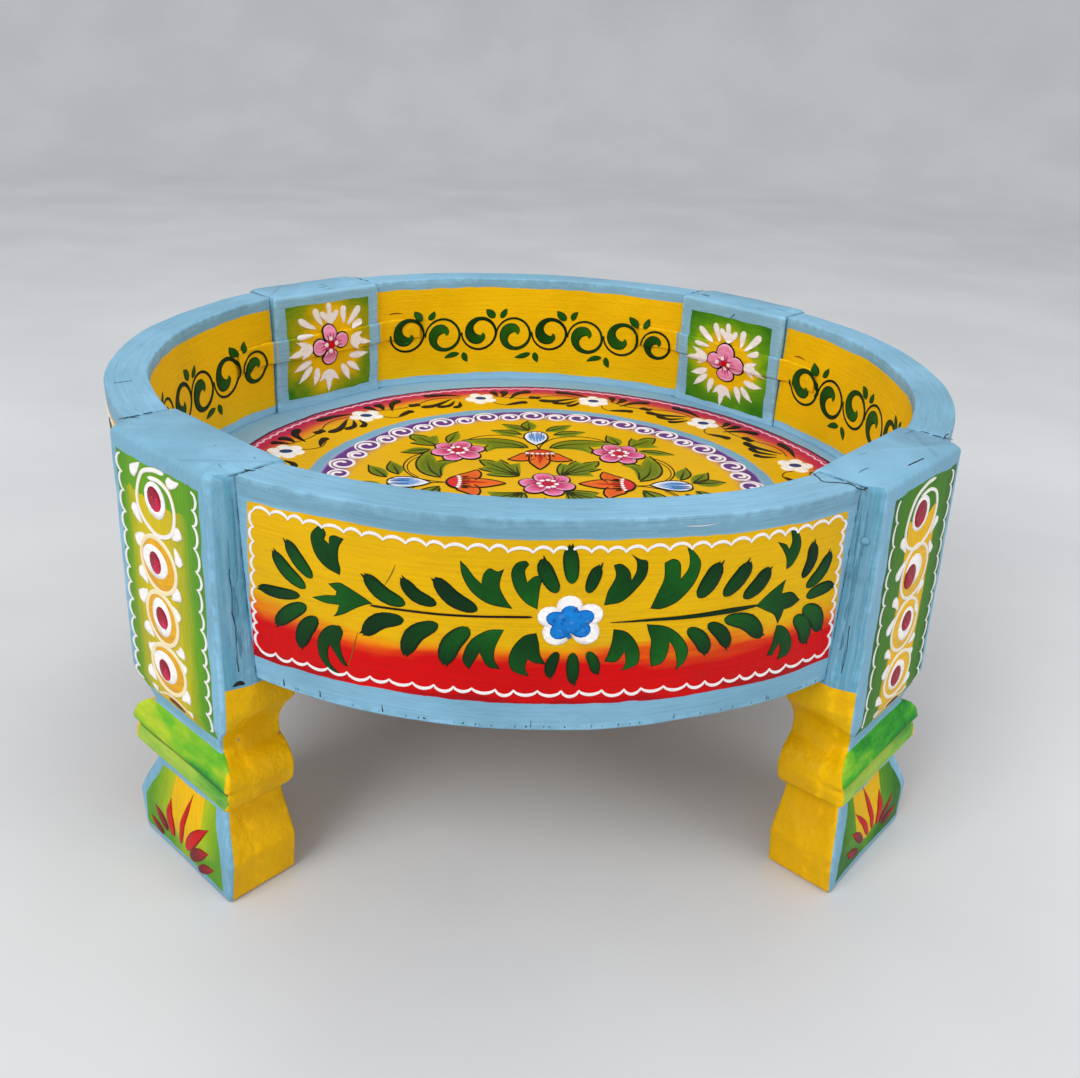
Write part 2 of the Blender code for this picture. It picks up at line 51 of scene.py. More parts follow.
# The table's sizes
TABLE_HEIGHT = 0.280
RIM_OUTER = 0.300
RIM_INNER = 0.273
RIM_BOTTOM = 0.154
RIM_DRAFT = 0.004  # the rim's foot stands this far inside its top
RIM_EASE = 0.0017  # rounding of the rim's edges
BOARD_TOP = 0.175
POST_HALF = 0.057
SEAM_HALF = 0.0573  # from a leg's centre line to the rim's end
OUTER_FACE = 0.3065
INNER_FACE = 0.262
LEG_LEAN = 0.0065  # a leg stands this much further out at the floor
FACE_INSET = 0.005
FLANK_START = 0.295  # where a post's flank starts to turn in to its outer face
LEG_EASE = 0.0019
TOP_EASE = 0.0022  # rounding of a leg's top edges
NECK_RECESS = 0.0055
BEAD_PROUD = 0.001
FOOT_TOP = 0.057
FOOT_STRIP = -0.001  # middle of a foot's yellow strip, across the leg
BAND_BOTTOM = 0.0675
GROOVE = 0.0797
ROLL_BOTTOM = 0.0817
BEAD_TOP = 0.1005
SHOULDER_BOTTOM = 0.103
SHOULDER_TOP = 0.122
STRAP_Z = 0.232
STRAP_HALF = 0.010
STRAP_THICK = 0.0015
STRAP_END = 0.3757  # angle of a strap's end from its leg's centre line
NAIL_OFFSET = 0.022  # from a leg's centre line to a strap's inner nails
NAIL_END = 0.010  # from a strap's end to its outer nails
NAIL_BUMP = 0.0007
NAIL_REACH = 0.0042
SLOW_UNEVEN = 0.0011  # how far hand-cut edges stray, in long and in short waves
FINE_UNEVEN = 0.0003
LEG_ANGLES = {"front_left": 225, "front_right": 315, "back_right": 45, "back_left": 135}
RIM_ANGLES = {"front": 270, "right": 0, "back": 90, "left": 180}
QUARTER = math.pi / 4

# Thickness of the paint
PAINT_THICK = 0.00022  # a stroke's crown above the ground coat
PAINT_SINK = 0.00015  # a stroke's border below the ground coat
LAYER = 0.00010  # rise of each later layer
BOARD_COAT = 0.0006  # the board's ground coat above its planks
BRUSH_TIP = ((-1.0, 0.0), (-0.95, 0.7), (-0.55, 0.93), (0.0, 1.0), (0.55, 0.93), (0.95, 0.7), (1.0, 0.0))


def mixed(red, green, blue):
    """A paint colour from its screen values, 0 to 255, as a linear colour."""
    def linear(level):
        share = level / 255
        return share / 12.92 if share <= 0.04045 else ((share + 0.055) / 1.055) ** 2.4
    return (linear(red), linear(green), linear(blue), 1.0)


SKY = mixed(118, 166, 190)
SKY_PALE = mixed(130, 178, 204)
SKY_DEEP = mixed(92, 150, 174)
# a lighter blue: painted light on the low frames inside the tray, against the rim's shade
PAINTED_LIGHT_BLUE = mixed(150, 198, 224)
YELLOW = mixed(232, 180, 2)
YELLOW_DEEP = mixed(214, 156, 4)
BOARD_YELLOW = mixed(224, 173, 6)
ORANGE = mixed(228, 122, 6)
RED = mixed(204, 4, 6)
DARK_RED = mixed(124, 2, 20)
LEAF = mixed(4, 42, 14)
LEAF_LIGHT = mixed(18, 94, 22)
LEAF_DARK = mixed(1, 22, 10)
LIME = mixed(160, 182, 22)
GRASS = mixed(96, 154, 22)
WHITE = mixed(248, 243, 240)
SHADED_WHITE = mixed(232, 224, 222)
CREAM = mixed(248, 228, 178)
FLOWER_BLUE = mixed(16, 122, 204)
DEEP_BLUE = mixed(10, 56, 130)
CRIMSON = mixed(186, 8, 52)
PINK = mixed(238, 144, 186)
PALE_PINK = mixed(246, 184, 210)
ROSE = mixed(196, 44, 104)
DEEP_PINK = mixed(220, 96, 152)
INK = mixed(22, 8, 8)
BROWN = mixed(24, 10, 4)
STEM_BROWN = mixed(96, 62, 10)
OLIVE = mixed(130, 144, 14)
OLIVE_DARK = mixed(58, 78, 12)
VEIN = mixed(34, 44, 8)
LILY = mixed(234, 112, 30)
LILY_RED = mixed(196, 36, 26)
PURPLE = mixed(100, 52, 130)
LILAC = mixed(226, 204, 222)
BUD_BLUE = mixed(84, 144, 212)
MAROON = mixed(110, 14, 30)
VINE_DARK = mixed(22, 84, 10)
VINE_LIGHT = mixed(48, 116, 14)
POST_GOLD = mixed(238, 190, 4)
POST_GREEN = mixed(54, 122, 24)
DOT_RED = mixed(140, 4, 34)
DOT_EDGE = mixed(150, 4, 40)
FLAME_TIP = mixed(196, 14, 16)
FLAME_EDGE = mixed(112, 6, 14)
BARE_WOOD = mixed(176, 152, 116)
GRIME = mixed(56, 66, 66)
CRACK = mixed(40, 36, 34)


class Nodes:
    """Adds nodes to one tree. Each input takes a socket or a plain value."""

    def __init__(self, tree):
        self.tree = tree

    def add(self, kind, inputs=None, out=0, **settings):
        node = self.tree.nodes.new(kind)
        for name, value in settings.items():
            setattr(node, name, value)
        for key, value in (inputs or {}).items():
            self.join(value, node.inputs[key])
        return node.outputs[out] if len(node.outputs) else node

    def join(self, value, socket):
        if isinstance(value, bpy.types.NodeSocket):
            self.tree.links.new(value, socket)
        else:
            socket.default_value = value

    def math(self, operation, first, second=0.0):
        return self.add("ShaderNodeMath", {0: first, 1: second}, operation=operation)

    def plus(self, first, second):
        return self.math("ADD", first, second)

    def minus(self, first, second):
        return self.math("SUBTRACT", first, second)

    def times(self, first, second):
        return self.math("MULTIPLY", first, second)

    def over(self, first, second):
        return self.math("DIVIDE", first, second)

    def away(self, value, middle):
        """How far a value is from a middle."""
        return self.math("ABSOLUTE", self.minus(value, middle))

    def ease(self, value, low, high, start=0.0, end=1.0):
        """Goes smoothly from start to end while a value goes from low to high."""
        inputs = {"Value": value, "From Min": low, "From Max": high, "To Min": start, "To Max": end}
        return self.add("ShaderNodeMapRange", inputs, interpolation_type="SMOOTHSTEP")

    def mix(self, share, first, second):
        return self.add("ShaderNodeMix", {0: share, 6: first, 7: second}, out=2, data_type="RGBA")

    def grain(self, vector, scale, detail=2.0):
        return self.add("ShaderNodeTexNoise", {"Vector": vector, "Scale": scale, "Detail": detail})

    def sway(self, vector, scale, amount):
        """An unsteadiness of up to an amount to each side."""
        return self.ease(self.grain(vector, scale, 3.0), 0.27, 0.73, -amount, amount)

    def stretched(self, vector, factors):
        return self.add("ShaderNodeVectorMath", {0: vector, 1: factors}, operation="MULTIPLY")

    def streaks(self, vector, factors, detail):
        """Noise drawn out along the axis with the smallest factor."""
        return self.grain(self.stretched(vector, factors), 1.0, detail)

    def split(self, vector):
        source = self.tree.nodes.new("ShaderNodeSeparateXYZ")
        self.join(vector, source.inputs[0])
        return source.outputs[0], source.outputs[1], source.outputs[2]

    def place(self):
        return self.add("ShaderNodeTexCoord", out="Object")

    def flat(self):
        return self.add("ShaderNodeUVMap", uv_map="flat")

    def attribute(self, name, out="Fac"):
        return self.add("ShaderNodeAttribute", out=out, attribute_name=name)

    def ramp(self, value, stops):
        """Colours along a value, each stop being a position and a colour."""
        node = self.tree.nodes.new("ShaderNodeValToRGB")
        self.join(value, node.inputs[0])
        elements = node.color_ramp.elements
        while len(elements) < len(stops):
            elements.new(0.5)
        for element, (position, colour) in zip(elements, stops):
            element.position = position
            element.color = colour
        return node.outputs[0]

    def toned(self, colour, value):
        """A colour made lighter or darker."""
        return self.add("ShaderNodeHueSaturation", {"Value": value, "Color": colour})


def start_material(name):
    material = bpy.data.materials.new(name)
    material.use_nodes = True
    material.node_tree.nodes.clear()
    return material, Nodes(material.node_tree)


def start_flat(name):
    """A new material, its nodes, and how far across and up its face a point is."""
    material, nodes = start_material(name)
    s, t, _ = nodes.split(nodes.flat())
    return material, nodes, s, t


def end_material(nodes, colour, roughness, height, depth, shine=0.1, metallic=0.0):
    """Joins a colour, a roughness and a relief to the shader and the output."""
    relief = nodes.add("ShaderNodeBump", {"Height": height, "Distance": depth, "Strength": 0.7})
    inputs = {"Base Color": colour, "Roughness": roughness, "Normal": relief}
    inputs |= {"Specular IOR Level": shine, "Metallic": metallic}
    shader = nodes.add("ShaderNodeBsdfPrincipled", inputs)
    nodes.add("ShaderNodeOutputMaterial", {"Surface": shader})


def end_ground_coat(nodes, colour, streak, rough=1.0, grime=0.42, marks=0.06):
    """Brush marks, cloudy tone, scratches, grime, specks, worn edges and a painted edge highlight on the
    coat's colour.
    """
    place, flat = nodes.place(), nodes.flat()
    streaks = nodes.streaks(flat, streak, 3.0)
    clouds = nodes.grain(place, 16.0, 5.0)
    shift = nodes.ease(streaks, 0.3, 0.7, -marks, marks)
    colour = nodes.toned(colour, nodes.plus(nodes.ease(clouds, 0.3, 0.7, 0.93, 1.05), shift))
    lines = nodes.streaks(flat, tuple(1.7 * k for k in streak), 7.0)
    colour = nodes.mix(nodes.ease(lines, 0.60, 0.76, 0.0, grime), colour, GRIME)
    smudges = nodes.streaks(place, (26.0, 26.0, 50.0), 6.0)
    colour = nodes.mix(nodes.ease(smudges, 0.60, 0.80, 0.0, 0.6 * grime), colour, GRIME)
    specks = nodes.grain(place, 700.0, 2.0)
    colour = nodes.mix(nodes.ease(specks, 0.70, 0.78, 0.0, 1.2 * grime), colour, GRIME)
    edge = nodes.attribute("edge")
    chips = nodes.grain(place, 130.0, 4.0)
    # edges painted lighter: partly worn paint, partly a painted highlight along them
    pale = nodes.times(edge, nodes.ease(chips, 0.42, 0.62, 0.0, 0.20))
    colour = nodes.toned(colour, nodes.plus(pale, 1.0))
    bare = nodes.ease(nodes.plus(nodes.times(edge, 0.20), chips), 0.905, 0.93)
    colour = nodes.mix(bare, colour, BARE_WOOD)
    dents = nodes.grain(place, 95.0, 4.0)
    height = nodes.plus(nodes.times(streaks, 0.6), nodes.times(dents, rough))
    height = nodes.plus(height, nodes.times(nodes.grain(place, 300.0, 3.0), 0.4 * rough))
    end_material(nodes, colour, nodes.ease(clouds, 0.3, 0.7, 0.36, 0.52), height, 0.0011)


def panel_share(nodes, s, t, box, sway):
    """1 inside a painted panel's box, 0 outside, with a hand-drawn border."""
    left, right, low, high = (k * MM for k in box)

    def past(value, start, end):
        away = nodes.away(value, (start + end) / 2)
        return nodes.minus(away, (end - start) / 2)
    outside = nodes.math("MAXIMUM", past(s, left, right), past(t, low, high))
    return nodes.ease(nodes.plus(outside, sway), -0.0003, 0.0003, 1.0, 0.0)


def sky_blue(nodes):
    return nodes.mix(nodes.ease(nodes.grain(nodes.place(), 9.0, 4.0), 0.35, 0.65), SKY, SKY_PALE)


def top_paint():
    material, nodes = start_material("sky_blue_paint")
    end_ground_coat(nodes, sky_blue(nodes), (30.0, 420.0, 1.0), rough=0.6)
    return material


def flank_paint():
    """Darker blue, brushed up and down, where the posts and the rim meet: the darkness is painted shade of
    that corner.
    """
    material, nodes = start_material("flank_paint")
    strands = nodes.streaks(nodes.flat(), (420.0, 16.0, 1.0), 4.0)
    # the deeper blue stands for painted shade in the corner by the rim
    colour = nodes.mix(nodes.ease(strands, 0.36, 0.66), SKY_DEEP, SKY)
    end_ground_coat(nodes, colour, (620.0, 30.0, 1.0), rough=1.2)
    return material


def yellow_paint():
    material, nodes = start_material("yellow_paint")
    tone = nodes.streaks(nodes.place(), (40.0, 40.0, 14.0), 4.0)
    colour = nodes.mix(nodes.ease(tone, 0.35, 0.68, 0.55, 1.0), YELLOW_DEEP, YELLOW)
    end_ground_coat(nodes, colour, (150.0, 60.0, 1.0), rough=1.8, grime=0.08, marks=0.035)
    return material


def rim_outside_paint():
    """A panel that goes from yellow through orange to red, in a blue frame."""
    material, nodes, s, t = start_flat("rim_outside_paint")
    drift = nodes.sway(nodes.stretched(nodes.flat(), (14.0, 60.0, 1.0)), 1.0, 0.005)
    level = nodes.over(nodes.minus(nodes.plus(t, drift), 0.170), 0.100)
    stops = (
        (0.01, mixed(168, 4, 16)), (0.05, RED), (0.23, RED), (0.285, mixed(216, 62, 6)), (0.33, ORANGE),
        (0.40, mixed(222, 172, 2)),
    )
    sag = nodes.times(nodes.times(s, s), 0.06)
    flare = nodes.add("ShaderNodeMapRange", {0: t, 1: 0.170, 2: 0.270, 3: 1.041, 4: 1.0})
    box = (-170.5, 169.5, 171.5, 269.0)
    sway = nodes.sway(nodes.place(), 40.0, 0.0007)
    share = panel_share(nodes, nodes.over(s, flare), nodes.plus(t, sag), box, sway)
    dust = nodes.streaks(nodes.flat(), (34.0, 900.0, 1.0), 8.0)
    soiled = nodes.mix(nodes.ease(dust, 0.44, 0.68, 0.34, 0.54), sky_blue(nodes), mixed(96, 130, 142))
    blue = nodes.mix(nodes.ease(t, 0.267, 0.271), sky_blue(nodes), soiled)
    paint = nodes.mix(share, blue, nodes.ramp(level, stops))
    end_ground_coat(nodes, paint, (26.0, 520.0, 1.0), grime=0.22, marks=0.04)
    return material


def rim_inside_paint():
    material, nodes, s, t = start_flat("rim_inside_paint")
    box = (-156.0, 156.0, 182.5, 270.5)
    share = panel_share(nodes, s, t, box, nodes.sway(nodes.place(), 36.0, 0.0008))
    # the frame's foot is painted lighter: painted light against the shade by the board
    blue = nodes.mix(nodes.ease(t, 0.178, 0.190), PAINTED_LIGHT_BLUE, sky_blue(nodes))
    paint = nodes.mix(share, blue, mixed(240, 189, 2))
    end_ground_coat(nodes, paint, (26.0, 520.0, 1.0), grime=0.08, marks=0.025)
    return material


def post_inside_paint(name, raised, wide, tall, stops):
    """A green panel with a golden oval, in a blue frame. It sits higher and glows wider on some posts."""
    material, nodes, s, t = start_flat(name)
    up = nodes.over(nodes.minus(t, 0.2235 + raised * MM), tall * MM)
    side = nodes.over(s, wide * MM)
    squares = nodes.plus(nodes.times(up, up), nodes.times(side, side))
    reach = nodes.plus(nodes.math("SQRT", squares), nodes.sway(nodes.place(), 45.0, 0.20))
    ground = nodes.ramp(nodes.over(reach, 2.0), stops)
    box = (-45.5, 46.0, 180.5 + 0.8 * raised, 267.5 + 0.5 * raised)
    share = panel_share(nodes, s, t, box, nodes.sway(nodes.place(), 40.0, 0.0009))
    # the frame is painted lighter, fully at its foot: painted light against the shade inside the tray
    blue = nodes.mix(nodes.ease(t, 0.178, 0.190), PAINTED_LIGHT_BLUE, nodes.mix(0.5, PAINTED_LIGHT_BLUE, sky_blue(nodes)))
    end_ground_coat(nodes, nodes.mix(share, blue, ground), (60.0, 420.0, 1.0), grime=0.10, marks=0.03)
    return material


def leg_panel_paint(name, style):
    """A leg's long outer panel: green borders, and a yellow column down from the spiral's middle."""
    material, nodes, s, t = start_flat(name)
    middle, half, soft = (k * MM for k in style["column"])
    unsteady = nodes.sway(nodes.stretched(nodes.flat(), (110.0, 16.0, 1.0)), 1.0, 0.0025)
    away = nodes.away(s, middle)
    past = nodes.minus(nodes.plus(away, unsteady), half)
    crown = nodes.ease(nodes.plus(t, unsteady), 0.2465, 0.2490, -0.05, 0.03)
    past = nodes.math("MAXIMUM", past, crown)
    border = nodes.minus(nodes.away(s, style["middle"] * MM), 0.036)
    green = nodes.mix(nodes.ease(border, -0.010, 0.008), style["green"], style["edge_green"])
    ground = nodes.mix(nodes.ease(past, -0.4 * soft, soft), style["column_paint"], green)
    box = (*style["panel"], 111.0, 269.5)
    share = panel_share(nodes, s, t, box, nodes.sway(nodes.place(), 40.0, 0.0011))
    end_ground_coat(nodes, nodes.mix(share, sky_blue(nodes), ground), (520.0, 40.0, 1.0), grime=0.14)
    return material


def bead_paint(name, crease_paint, roll_stops):
    """Green on the roll and lime on the band, darker in patches, towards one end and low on the roll, with a
    tinted groove and ragged ends.
    """
    material, nodes, s, t = start_flat(name)
    patches = nodes.streaks(nodes.flat(), (26.0, 70.0, 1.0), 5.0)
    patches_and_slope = nodes.plus(patches, nodes.ease(s, -0.030, 0.055, -0.10, 0.12))
    band_stops = ((0.36, mixed(162, 190, 70)), (0.54, mixed(134, 182, 66)), (0.74, mixed(66, 152, 56)))
    low_edge = nodes.ease(t, ROLL_BOTTOM, 0.0885, 0.14, -0.05)
    roll = nodes.ramp(nodes.plus(patches_and_slope, low_edge), roll_stops)
    colour = nodes.mix(nodes.ease(t, 0.0790, 0.0810), nodes.ramp(patches_and_slope, band_stops), roll)
    crease = nodes.away(t, GROOVE)
    colour = nodes.mix(nodes.ease(crease, 0.0003, 0.0013, 0.7, 0.0), colour, crease_paint)
    ragged = nodes.plus(nodes.math("ABSOLUTE", s), nodes.sway(nodes.place(), 90.0, 0.0030))
    ragged = nodes.plus(ragged, nodes.ease(t, 0.0790, 0.0810, 0.0025, 0.0))
    colour = nodes.mix(nodes.ease(ragged, 0.0525, 0.0535), colour, YELLOW)
    end_ground_coat(nodes, colour, (60.0, 420.0, 1.0), rough=3.0, grime=0.10)
    return material


def foot_paint(name, side, stops):
    """A foot's outer panel: a blue border that follows the flare, green, and a yellow strip."""
    material, nodes, s, t = start_flat(name)
    flare = nodes.ease(t, 0.024, 0.058, 0.0445, 0.0305)
    outside = nodes.minus(nodes.away(s, side * 0.0025), flare)
    ends = nodes.math("MAXIMUM", nodes.minus(t, 0.0555), nodes.minus(0.0050, t))
    outside = nodes.plus(nodes.math("MAXIMUM", outside, ends), nodes.sway(nodes.place(), 40.0, 0.0009))
    share = nodes.ease(outside, -0.0003, 0.0003, 1.0, 0.0)
    unsteady = nodes.sway(nodes.stretched(nodes.flat(), (120.0, 20.0, 1.0)), 1.0, 0.0012)
    away = nodes.away(s, FOOT_STRIP)
    low = nodes.ease(nodes.plus(t, unsteady), 0.009, 0.026, 0.024, 0.0)
    reach = nodes.plus(nodes.plus(away, unsteady), low)
    ground = nodes.ramp(nodes.over(reach, 0.04), stops)
    end_ground_coat(nodes, nodes.mix(share, sky_blue(nodes), ground), (420.0, 60.0, 1.0), grime=0.12)
    return material


# Middle of the board's rings, a little off the table's own centre, in millimetres
PAINTING_MIDDLE = (8.0, -9.0)
# The board's rings: distance from the middle in millimetres, and paint. The last, pale blue ring by the rim
# is painted light against the rim's shade
BOARD_RINGS = (
    (152, BOARD_YELLOW), (158, mixed(198, 148, 80)), (164, PURPLE), (176, PURPLE),
    (177, mixed(150, 166, 206)), (180, SKY), (187, SKY), (188, BOARD_YELLOW), (220, BOARD_YELLOW),
    (228, mixed(226, 138, 34)), (235, mixed(206, 70, 60)), (241, mixed(190, 36, 78)),
    (248, mixed(186, 34, 86)), (252, mixed(198, 78, 122)), (253, mixed(88, 12, 48)),
    (255, mixed(88, 12, 48)), (256, mixed(140, 184, 212)),
)


def board_paint():
    material, nodes = start_material("board_paint")
    place = nodes.place()
    x, y, _ = nodes.split(place)
    x = nodes.minus(x, PAINTING_MIDDLE[0] * MM)
    y = nodes.minus(y, PAINTING_MIDDLE[1] * MM)
    squares = nodes.plus(nodes.times(x, x), nodes.times(y, y))
    radius = nodes.plus(nodes.math("SQRT", squares), nodes.sway(place, 30.0, 0.0012))
    reach = BOARD_RINGS[-1][0] * 1.02
    stops = [(radius_mm / reach, paint) for radius_mm, paint in BOARD_RINGS]
    colour = nodes.ramp(nodes.over(radius, reach * MM), stops)
    streaks = nodes.streaks(place, (24.0, 420.0, 24.0), 3.0)
    clouds = nodes.grain(place, 14.0, 5.0)
    tone = nodes.plus(nodes.ease(clouds, 0.3, 0.7, 0.94, 1.03), nodes.ease(streaks, 0.3, 0.7, -0.03, 0.04))
    roughness = nodes.ease(clouds, 0.3, 0.7, 0.34, 0.48)
    end_material(nodes, nodes.toned(colour, tone), roughness, streaks, 0.0004)
    return material


def brush_paint():
    """Paint of the raised strokes: each has its own shade, a border shade, and streaks along the brush."""
    material, nodes = start_material("brush_paint")
    across, along, pick = (nodes.attribute(name) for name in ("across", "along", "pick"))
    rim = nodes.ease(nodes.math("ABSOLUTE", across), 0.55, 1.0, 0.0, 0.85)
    colour = nodes.mix(rim, nodes.attribute("shade", "Color"), nodes.attribute("border", "Color"))
    side = nodes.plus(nodes.times(across, 3.0), nodes.times(pick, 40.0))
    brush = nodes.add("ShaderNodeCombineXYZ", {0: nodes.times(along, 2.5), 1: side, 2: pick})
    hairs = nodes.grain(brush, 1.6, 3.0)
    colour = nodes.toned(colour, nodes.ease(hairs, 0.28, 0.72, 0.87, 1.11))
    end_material(nodes, colour, nodes.ease(hairs, 0.3, 0.7, 0.32, 0.46), hairs, 0.0005, shine=0.12)
    return material


def bare_wood_paint(name, along):
    """Unpainted wood, with its grain along one axis."""
    material, nodes = start_material(name)
    place = nodes.place()
    fine, broad = [160.0] * 3, [34.0] * 3
    fine[along], broad[along] = 9.0, 5.0
    grain = nodes.streaks(place, fine, 5.0)
    rings = nodes.streaks(place, broad, 3.0)
    shade = nodes.mix(nodes.ease(grain, 0.35, 0.65), mixed(112, 82, 52), mixed(158, 124, 84))
    shade = nodes.toned(shade, nodes.ease(rings, 0.3, 0.7, 0.82, 1.1))
    end_material(nodes, shade, nodes.ease(grain, 0.3, 0.7, 0.62, 0.82), grain, 0.0008)
    return material


def iron_paint():
    material, nodes = start_material("nail_iron")
    rust = nodes.grain(nodes.place(), 420.0, 4.0)
    shade = nodes.mix(nodes.ease(rust, 0.45, 0.65), mixed(92, 92, 96), mixed(104, 68, 48))
    end_material(nodes, shade, nodes.ease(rust, 0.4, 0.7, 0.38, 0.72), rust, 0.0003, shine=0.5, metallic=0.8)
    return material


def floor_paint():
    material, nodes = start_material("pale_floor")
    cloud = nodes.grain(nodes.place(), 3.0, 4.0)
    shade = nodes.mix(nodes.ease(cloud, 0.3, 0.7), mixed(206, 207, 209), mixed(214, 215, 216))
    end_material(nodes, shade, nodes.ease(cloud, 0.3, 0.7, 0.62, 0.75), cloud, 0.0002)
    return material


def uneven(points):
    """Moves points as one gently uneven whole, so that no hand-cut edge is ruler-straight."""
    moved = np.array(points, float)
    for row, point in enumerate(moved):
        here = Vector(point)
        slow = noise.noise_vector(here * 12.0)
        fine = noise.noise_vector(here * 46.0 + Vector((7.0, 3.0, 1.0)))
        move = slow * SLOW_UNEVEN + fine * FINE_UNEVEN
        floor_hold = min(1.0, max(0.0, point[2] / 0.02))
        board_hold = min(1.0, max(0.25, (abs(point[2] - BOARD_TOP) - 0.002) / 0.006))
        moved[row] += (move.x, move.y, move.z * min(floor_hold, board_hold))
    return moved


def turned(points, degrees):
    """Points turned about the table's upright axis."""
    angle = math.radians(degrees)
    c, s = math.cos(angle), math.sin(angle)
    x, y, z = points[:, 0], points[:, 1], points[:, 2]
    return np.stack([c * x - s * y, s * x + c * y, z], axis=1)


def lean(z):
    """How much further out a leg stands at a height than at the top."""
    return LEG_LEAN * (1 - z / TABLE_HEIGHT)


def eased(points, reach, steps=3):
    """A row of points with each inner corner replaced by a short curve."""
    rows = [points[0]]
    for before, here, after in zip(points, points[1:], points[2:]):
        back, ahead = before - here, after - here
        start = here + back * min(0.45, reach / np.linalg.norm(back))
        end = here + ahead * min(0.45, reach / np.linalg.norm(ahead))
        for k in range(steps + 1):
            f = k / steps
            rows.append(start * (1 - f) ** 2 + here * 2 * f * (1 - f) + end * f ** 2)
    rows.append(points[-1])
    return np.array(rows)


def filled(points, spacing):
    """A row of points with long spans divided."""
    rows = [points[0]]
    for here, after in zip(points, points[1:]):
        count = max(1, math.ceil(np.linalg.norm(after - here) / spacing))
        rows += [here + (after - here) * k / count for k in range(1, count + 1)]
    return np.array(rows)


# A carved leg from the floor up: height, half width of its outer face, and how far that face stands out,
# from 0 at the neck to about 1 at the bead
LEG_PROFILE = (
    (0.0, 0.0490, 0.9), (0.0022, 0.0505, 1.0), (0.029, 0.054, 1.0), (0.043, 0.0475, 0.55),
    (FOOT_TOP, 0.040, 0.0), (0.0605, 0.040, 0.0), (BAND_BOTTOM, 0.0505, 0.85), (0.0693, 0.0530, 1.1),
    (0.0769, 0.0530, 0.95), (GROOVE, 0.0520, 0.70), (ROLL_BOTTOM, 0.0540, 0.90), (0.0838, 0.0555, 1.14),
    (0.0900, 0.0545, 0.80), (0.0948, 0.0505, 0.50), (0.0985, 0.0445, 0.22), (BEAD_TOP, 0.038, 0.0),
    (SHOULDER_BOTTOM, 0.038, 0.0),
)

# The leg's yellow sides have no groove, and a smooth cove for a neck: height and half width in millimetres
SIDE_PROFILE = (
    (0, 49), (2, 50.5), (28, 53), (36, 49), (43, 45), (50, 41.5), (56, 39.5), (60.5, 39.5), (65, 50),
    (69, 53), (75, 54.5), (80, 55), (84, 54), (88, 52), (91.5, 49), (94.5, 45), (97, 41.5), (100, 40.5),
    (104, 40), (108, 40.5), (113, 42.5), (117, 45), (121, 48), (125, 51.5), (131, 57),
)


def side_half(z):
    """Half width of a leg between its two yellow sides, at one height."""
    heights, halves = np.array(SIDE_PROFILE).T * MM
    return np.interp(z, heights, halves)


def leg_rows():
    """From the floor up: height, half width, outer face and inner face of a carved leg."""
    swell = NECK_RECESS + BEAD_PROUD
    rows = []
    for z, half, stand in LEG_PROFILE + ((SHOULDER_TOP, POST_HALF, NECK_RECESS / swell),):
        rows.append((z, half, OUTER_FACE + lean(z) - NECK_RECESS + stand * swell, INNER_FACE + lean(z)))
    last = TABLE_HEIGHT - TOP_EASE
    rows.append((last, POST_HALF, OUTER_FACE + lean(last), INNER_FACE + lean(last)))
    rows.append((TABLE_HEIGHT, POST_HALF - TOP_EASE, OUTER_FACE - TOP_EASE, INNER_FACE + TOP_EASE))
    return filled(eased(np.array(rows), 0.0016), 0.0040)


def eased_ring(corners, counts, reach, shares):
    """A closed outline with eased corners: its points, and each one's side and step, or None on a corner."""
    points, marks = [], []
    for k, count in enumerate(counts):
        here, after, last = (corners[(k + step) % len(corners)] for step in range(3))
        span, beyond = after - here, last - after
        ease = reach / np.linalg.norm(span)
        for step in range(count + 1):
            points.append(here + span * (ease + (1 - 2 * ease) * step / count))
            marks.append((k, step))
        leave, enter = points[-1], after + beyond * reach / np.linalg.norm(beyond)
        for f in shares:
            points.append(leave * (1 - f) ** 2 + after * 2 * f * (1 - f) + enter * f ** 2)
            marks.append((k, None))
    return np.array(points), marks


LEG_ROWS = leg_rows()
# The sides of a leg and of the rim, in turn: name, name of the corner after it, and steps
LEG_SIDES = (
    ("flank", "flank", 7), ("flank", "outer", 3), ("outer", "outer", 22), ("flank", "flank", 3),
    ("flank", "inner", 7), ("inner", "inner", 22),
)
RIM_SIDES = (
    ("outside", "outside", 24), ("blue", "inside", 5), ("inside", "inside", 20), ("blue", "outside", 6),
)


def leg_section(row):
    """A leg's outline at one height, in u and v, with eased corners, and each point's side and edge mark, for
    wear and a painted highlight.
    """
    z, half, outer, inner = row
    face = half - FACE_INSET * min(1.0, max(0.0, (z - SHOULDER_BOTTOM) / 0.012))
    wide = side_half(z) if z < SIDE_PROFILE[-1][0] * MM else half
    start = min(FLANK_START, outer - 0.008)
    corners = np.array(
        [(inner, -wide), (start, -wide), (outer, -face), (outer, face), (start, wide), (inner, wide)]
    )
    points, marks = eased_ring(corners, [side[2] for side in LEG_SIDES], LEG_EASE, (0.5,))
    sides = [LEG_SIDES[k][step is None] for k, step in marks]
    edges = [float(step is None or step in (0, LEG_SIDES[k][2]) and k not in (0, 3)) for k, step in marks]
    return points, sides, edges


def plain_mesh(name, points, faces, paints, kinds, flat, edges):
    """A mesh with its paints, flat coordinates for each corner and an edge mark for each point, for wear and
    a painted highlight.
    """
    mesh = bpy.data.meshes.new(name)
    mesh.from_pydata([tuple(point) for point in points], [], faces)
    order = list(paints)
    for paint in paints.values():
        mesh.materials.append(paint)
    mesh.polygons.foreach_set("material_index", [order.index(kind) for kind in kinds])
    mesh.polygons.foreach_set("use_smooth", [True] * len(faces))
    layer = mesh.uv_layers.new(name="flat")
    layer.data.foreach_set("uv", np.asarray(flat, np.float32).ravel())
    keep_values(mesh, {"edge": edges})
    mesh.update()
    return mesh


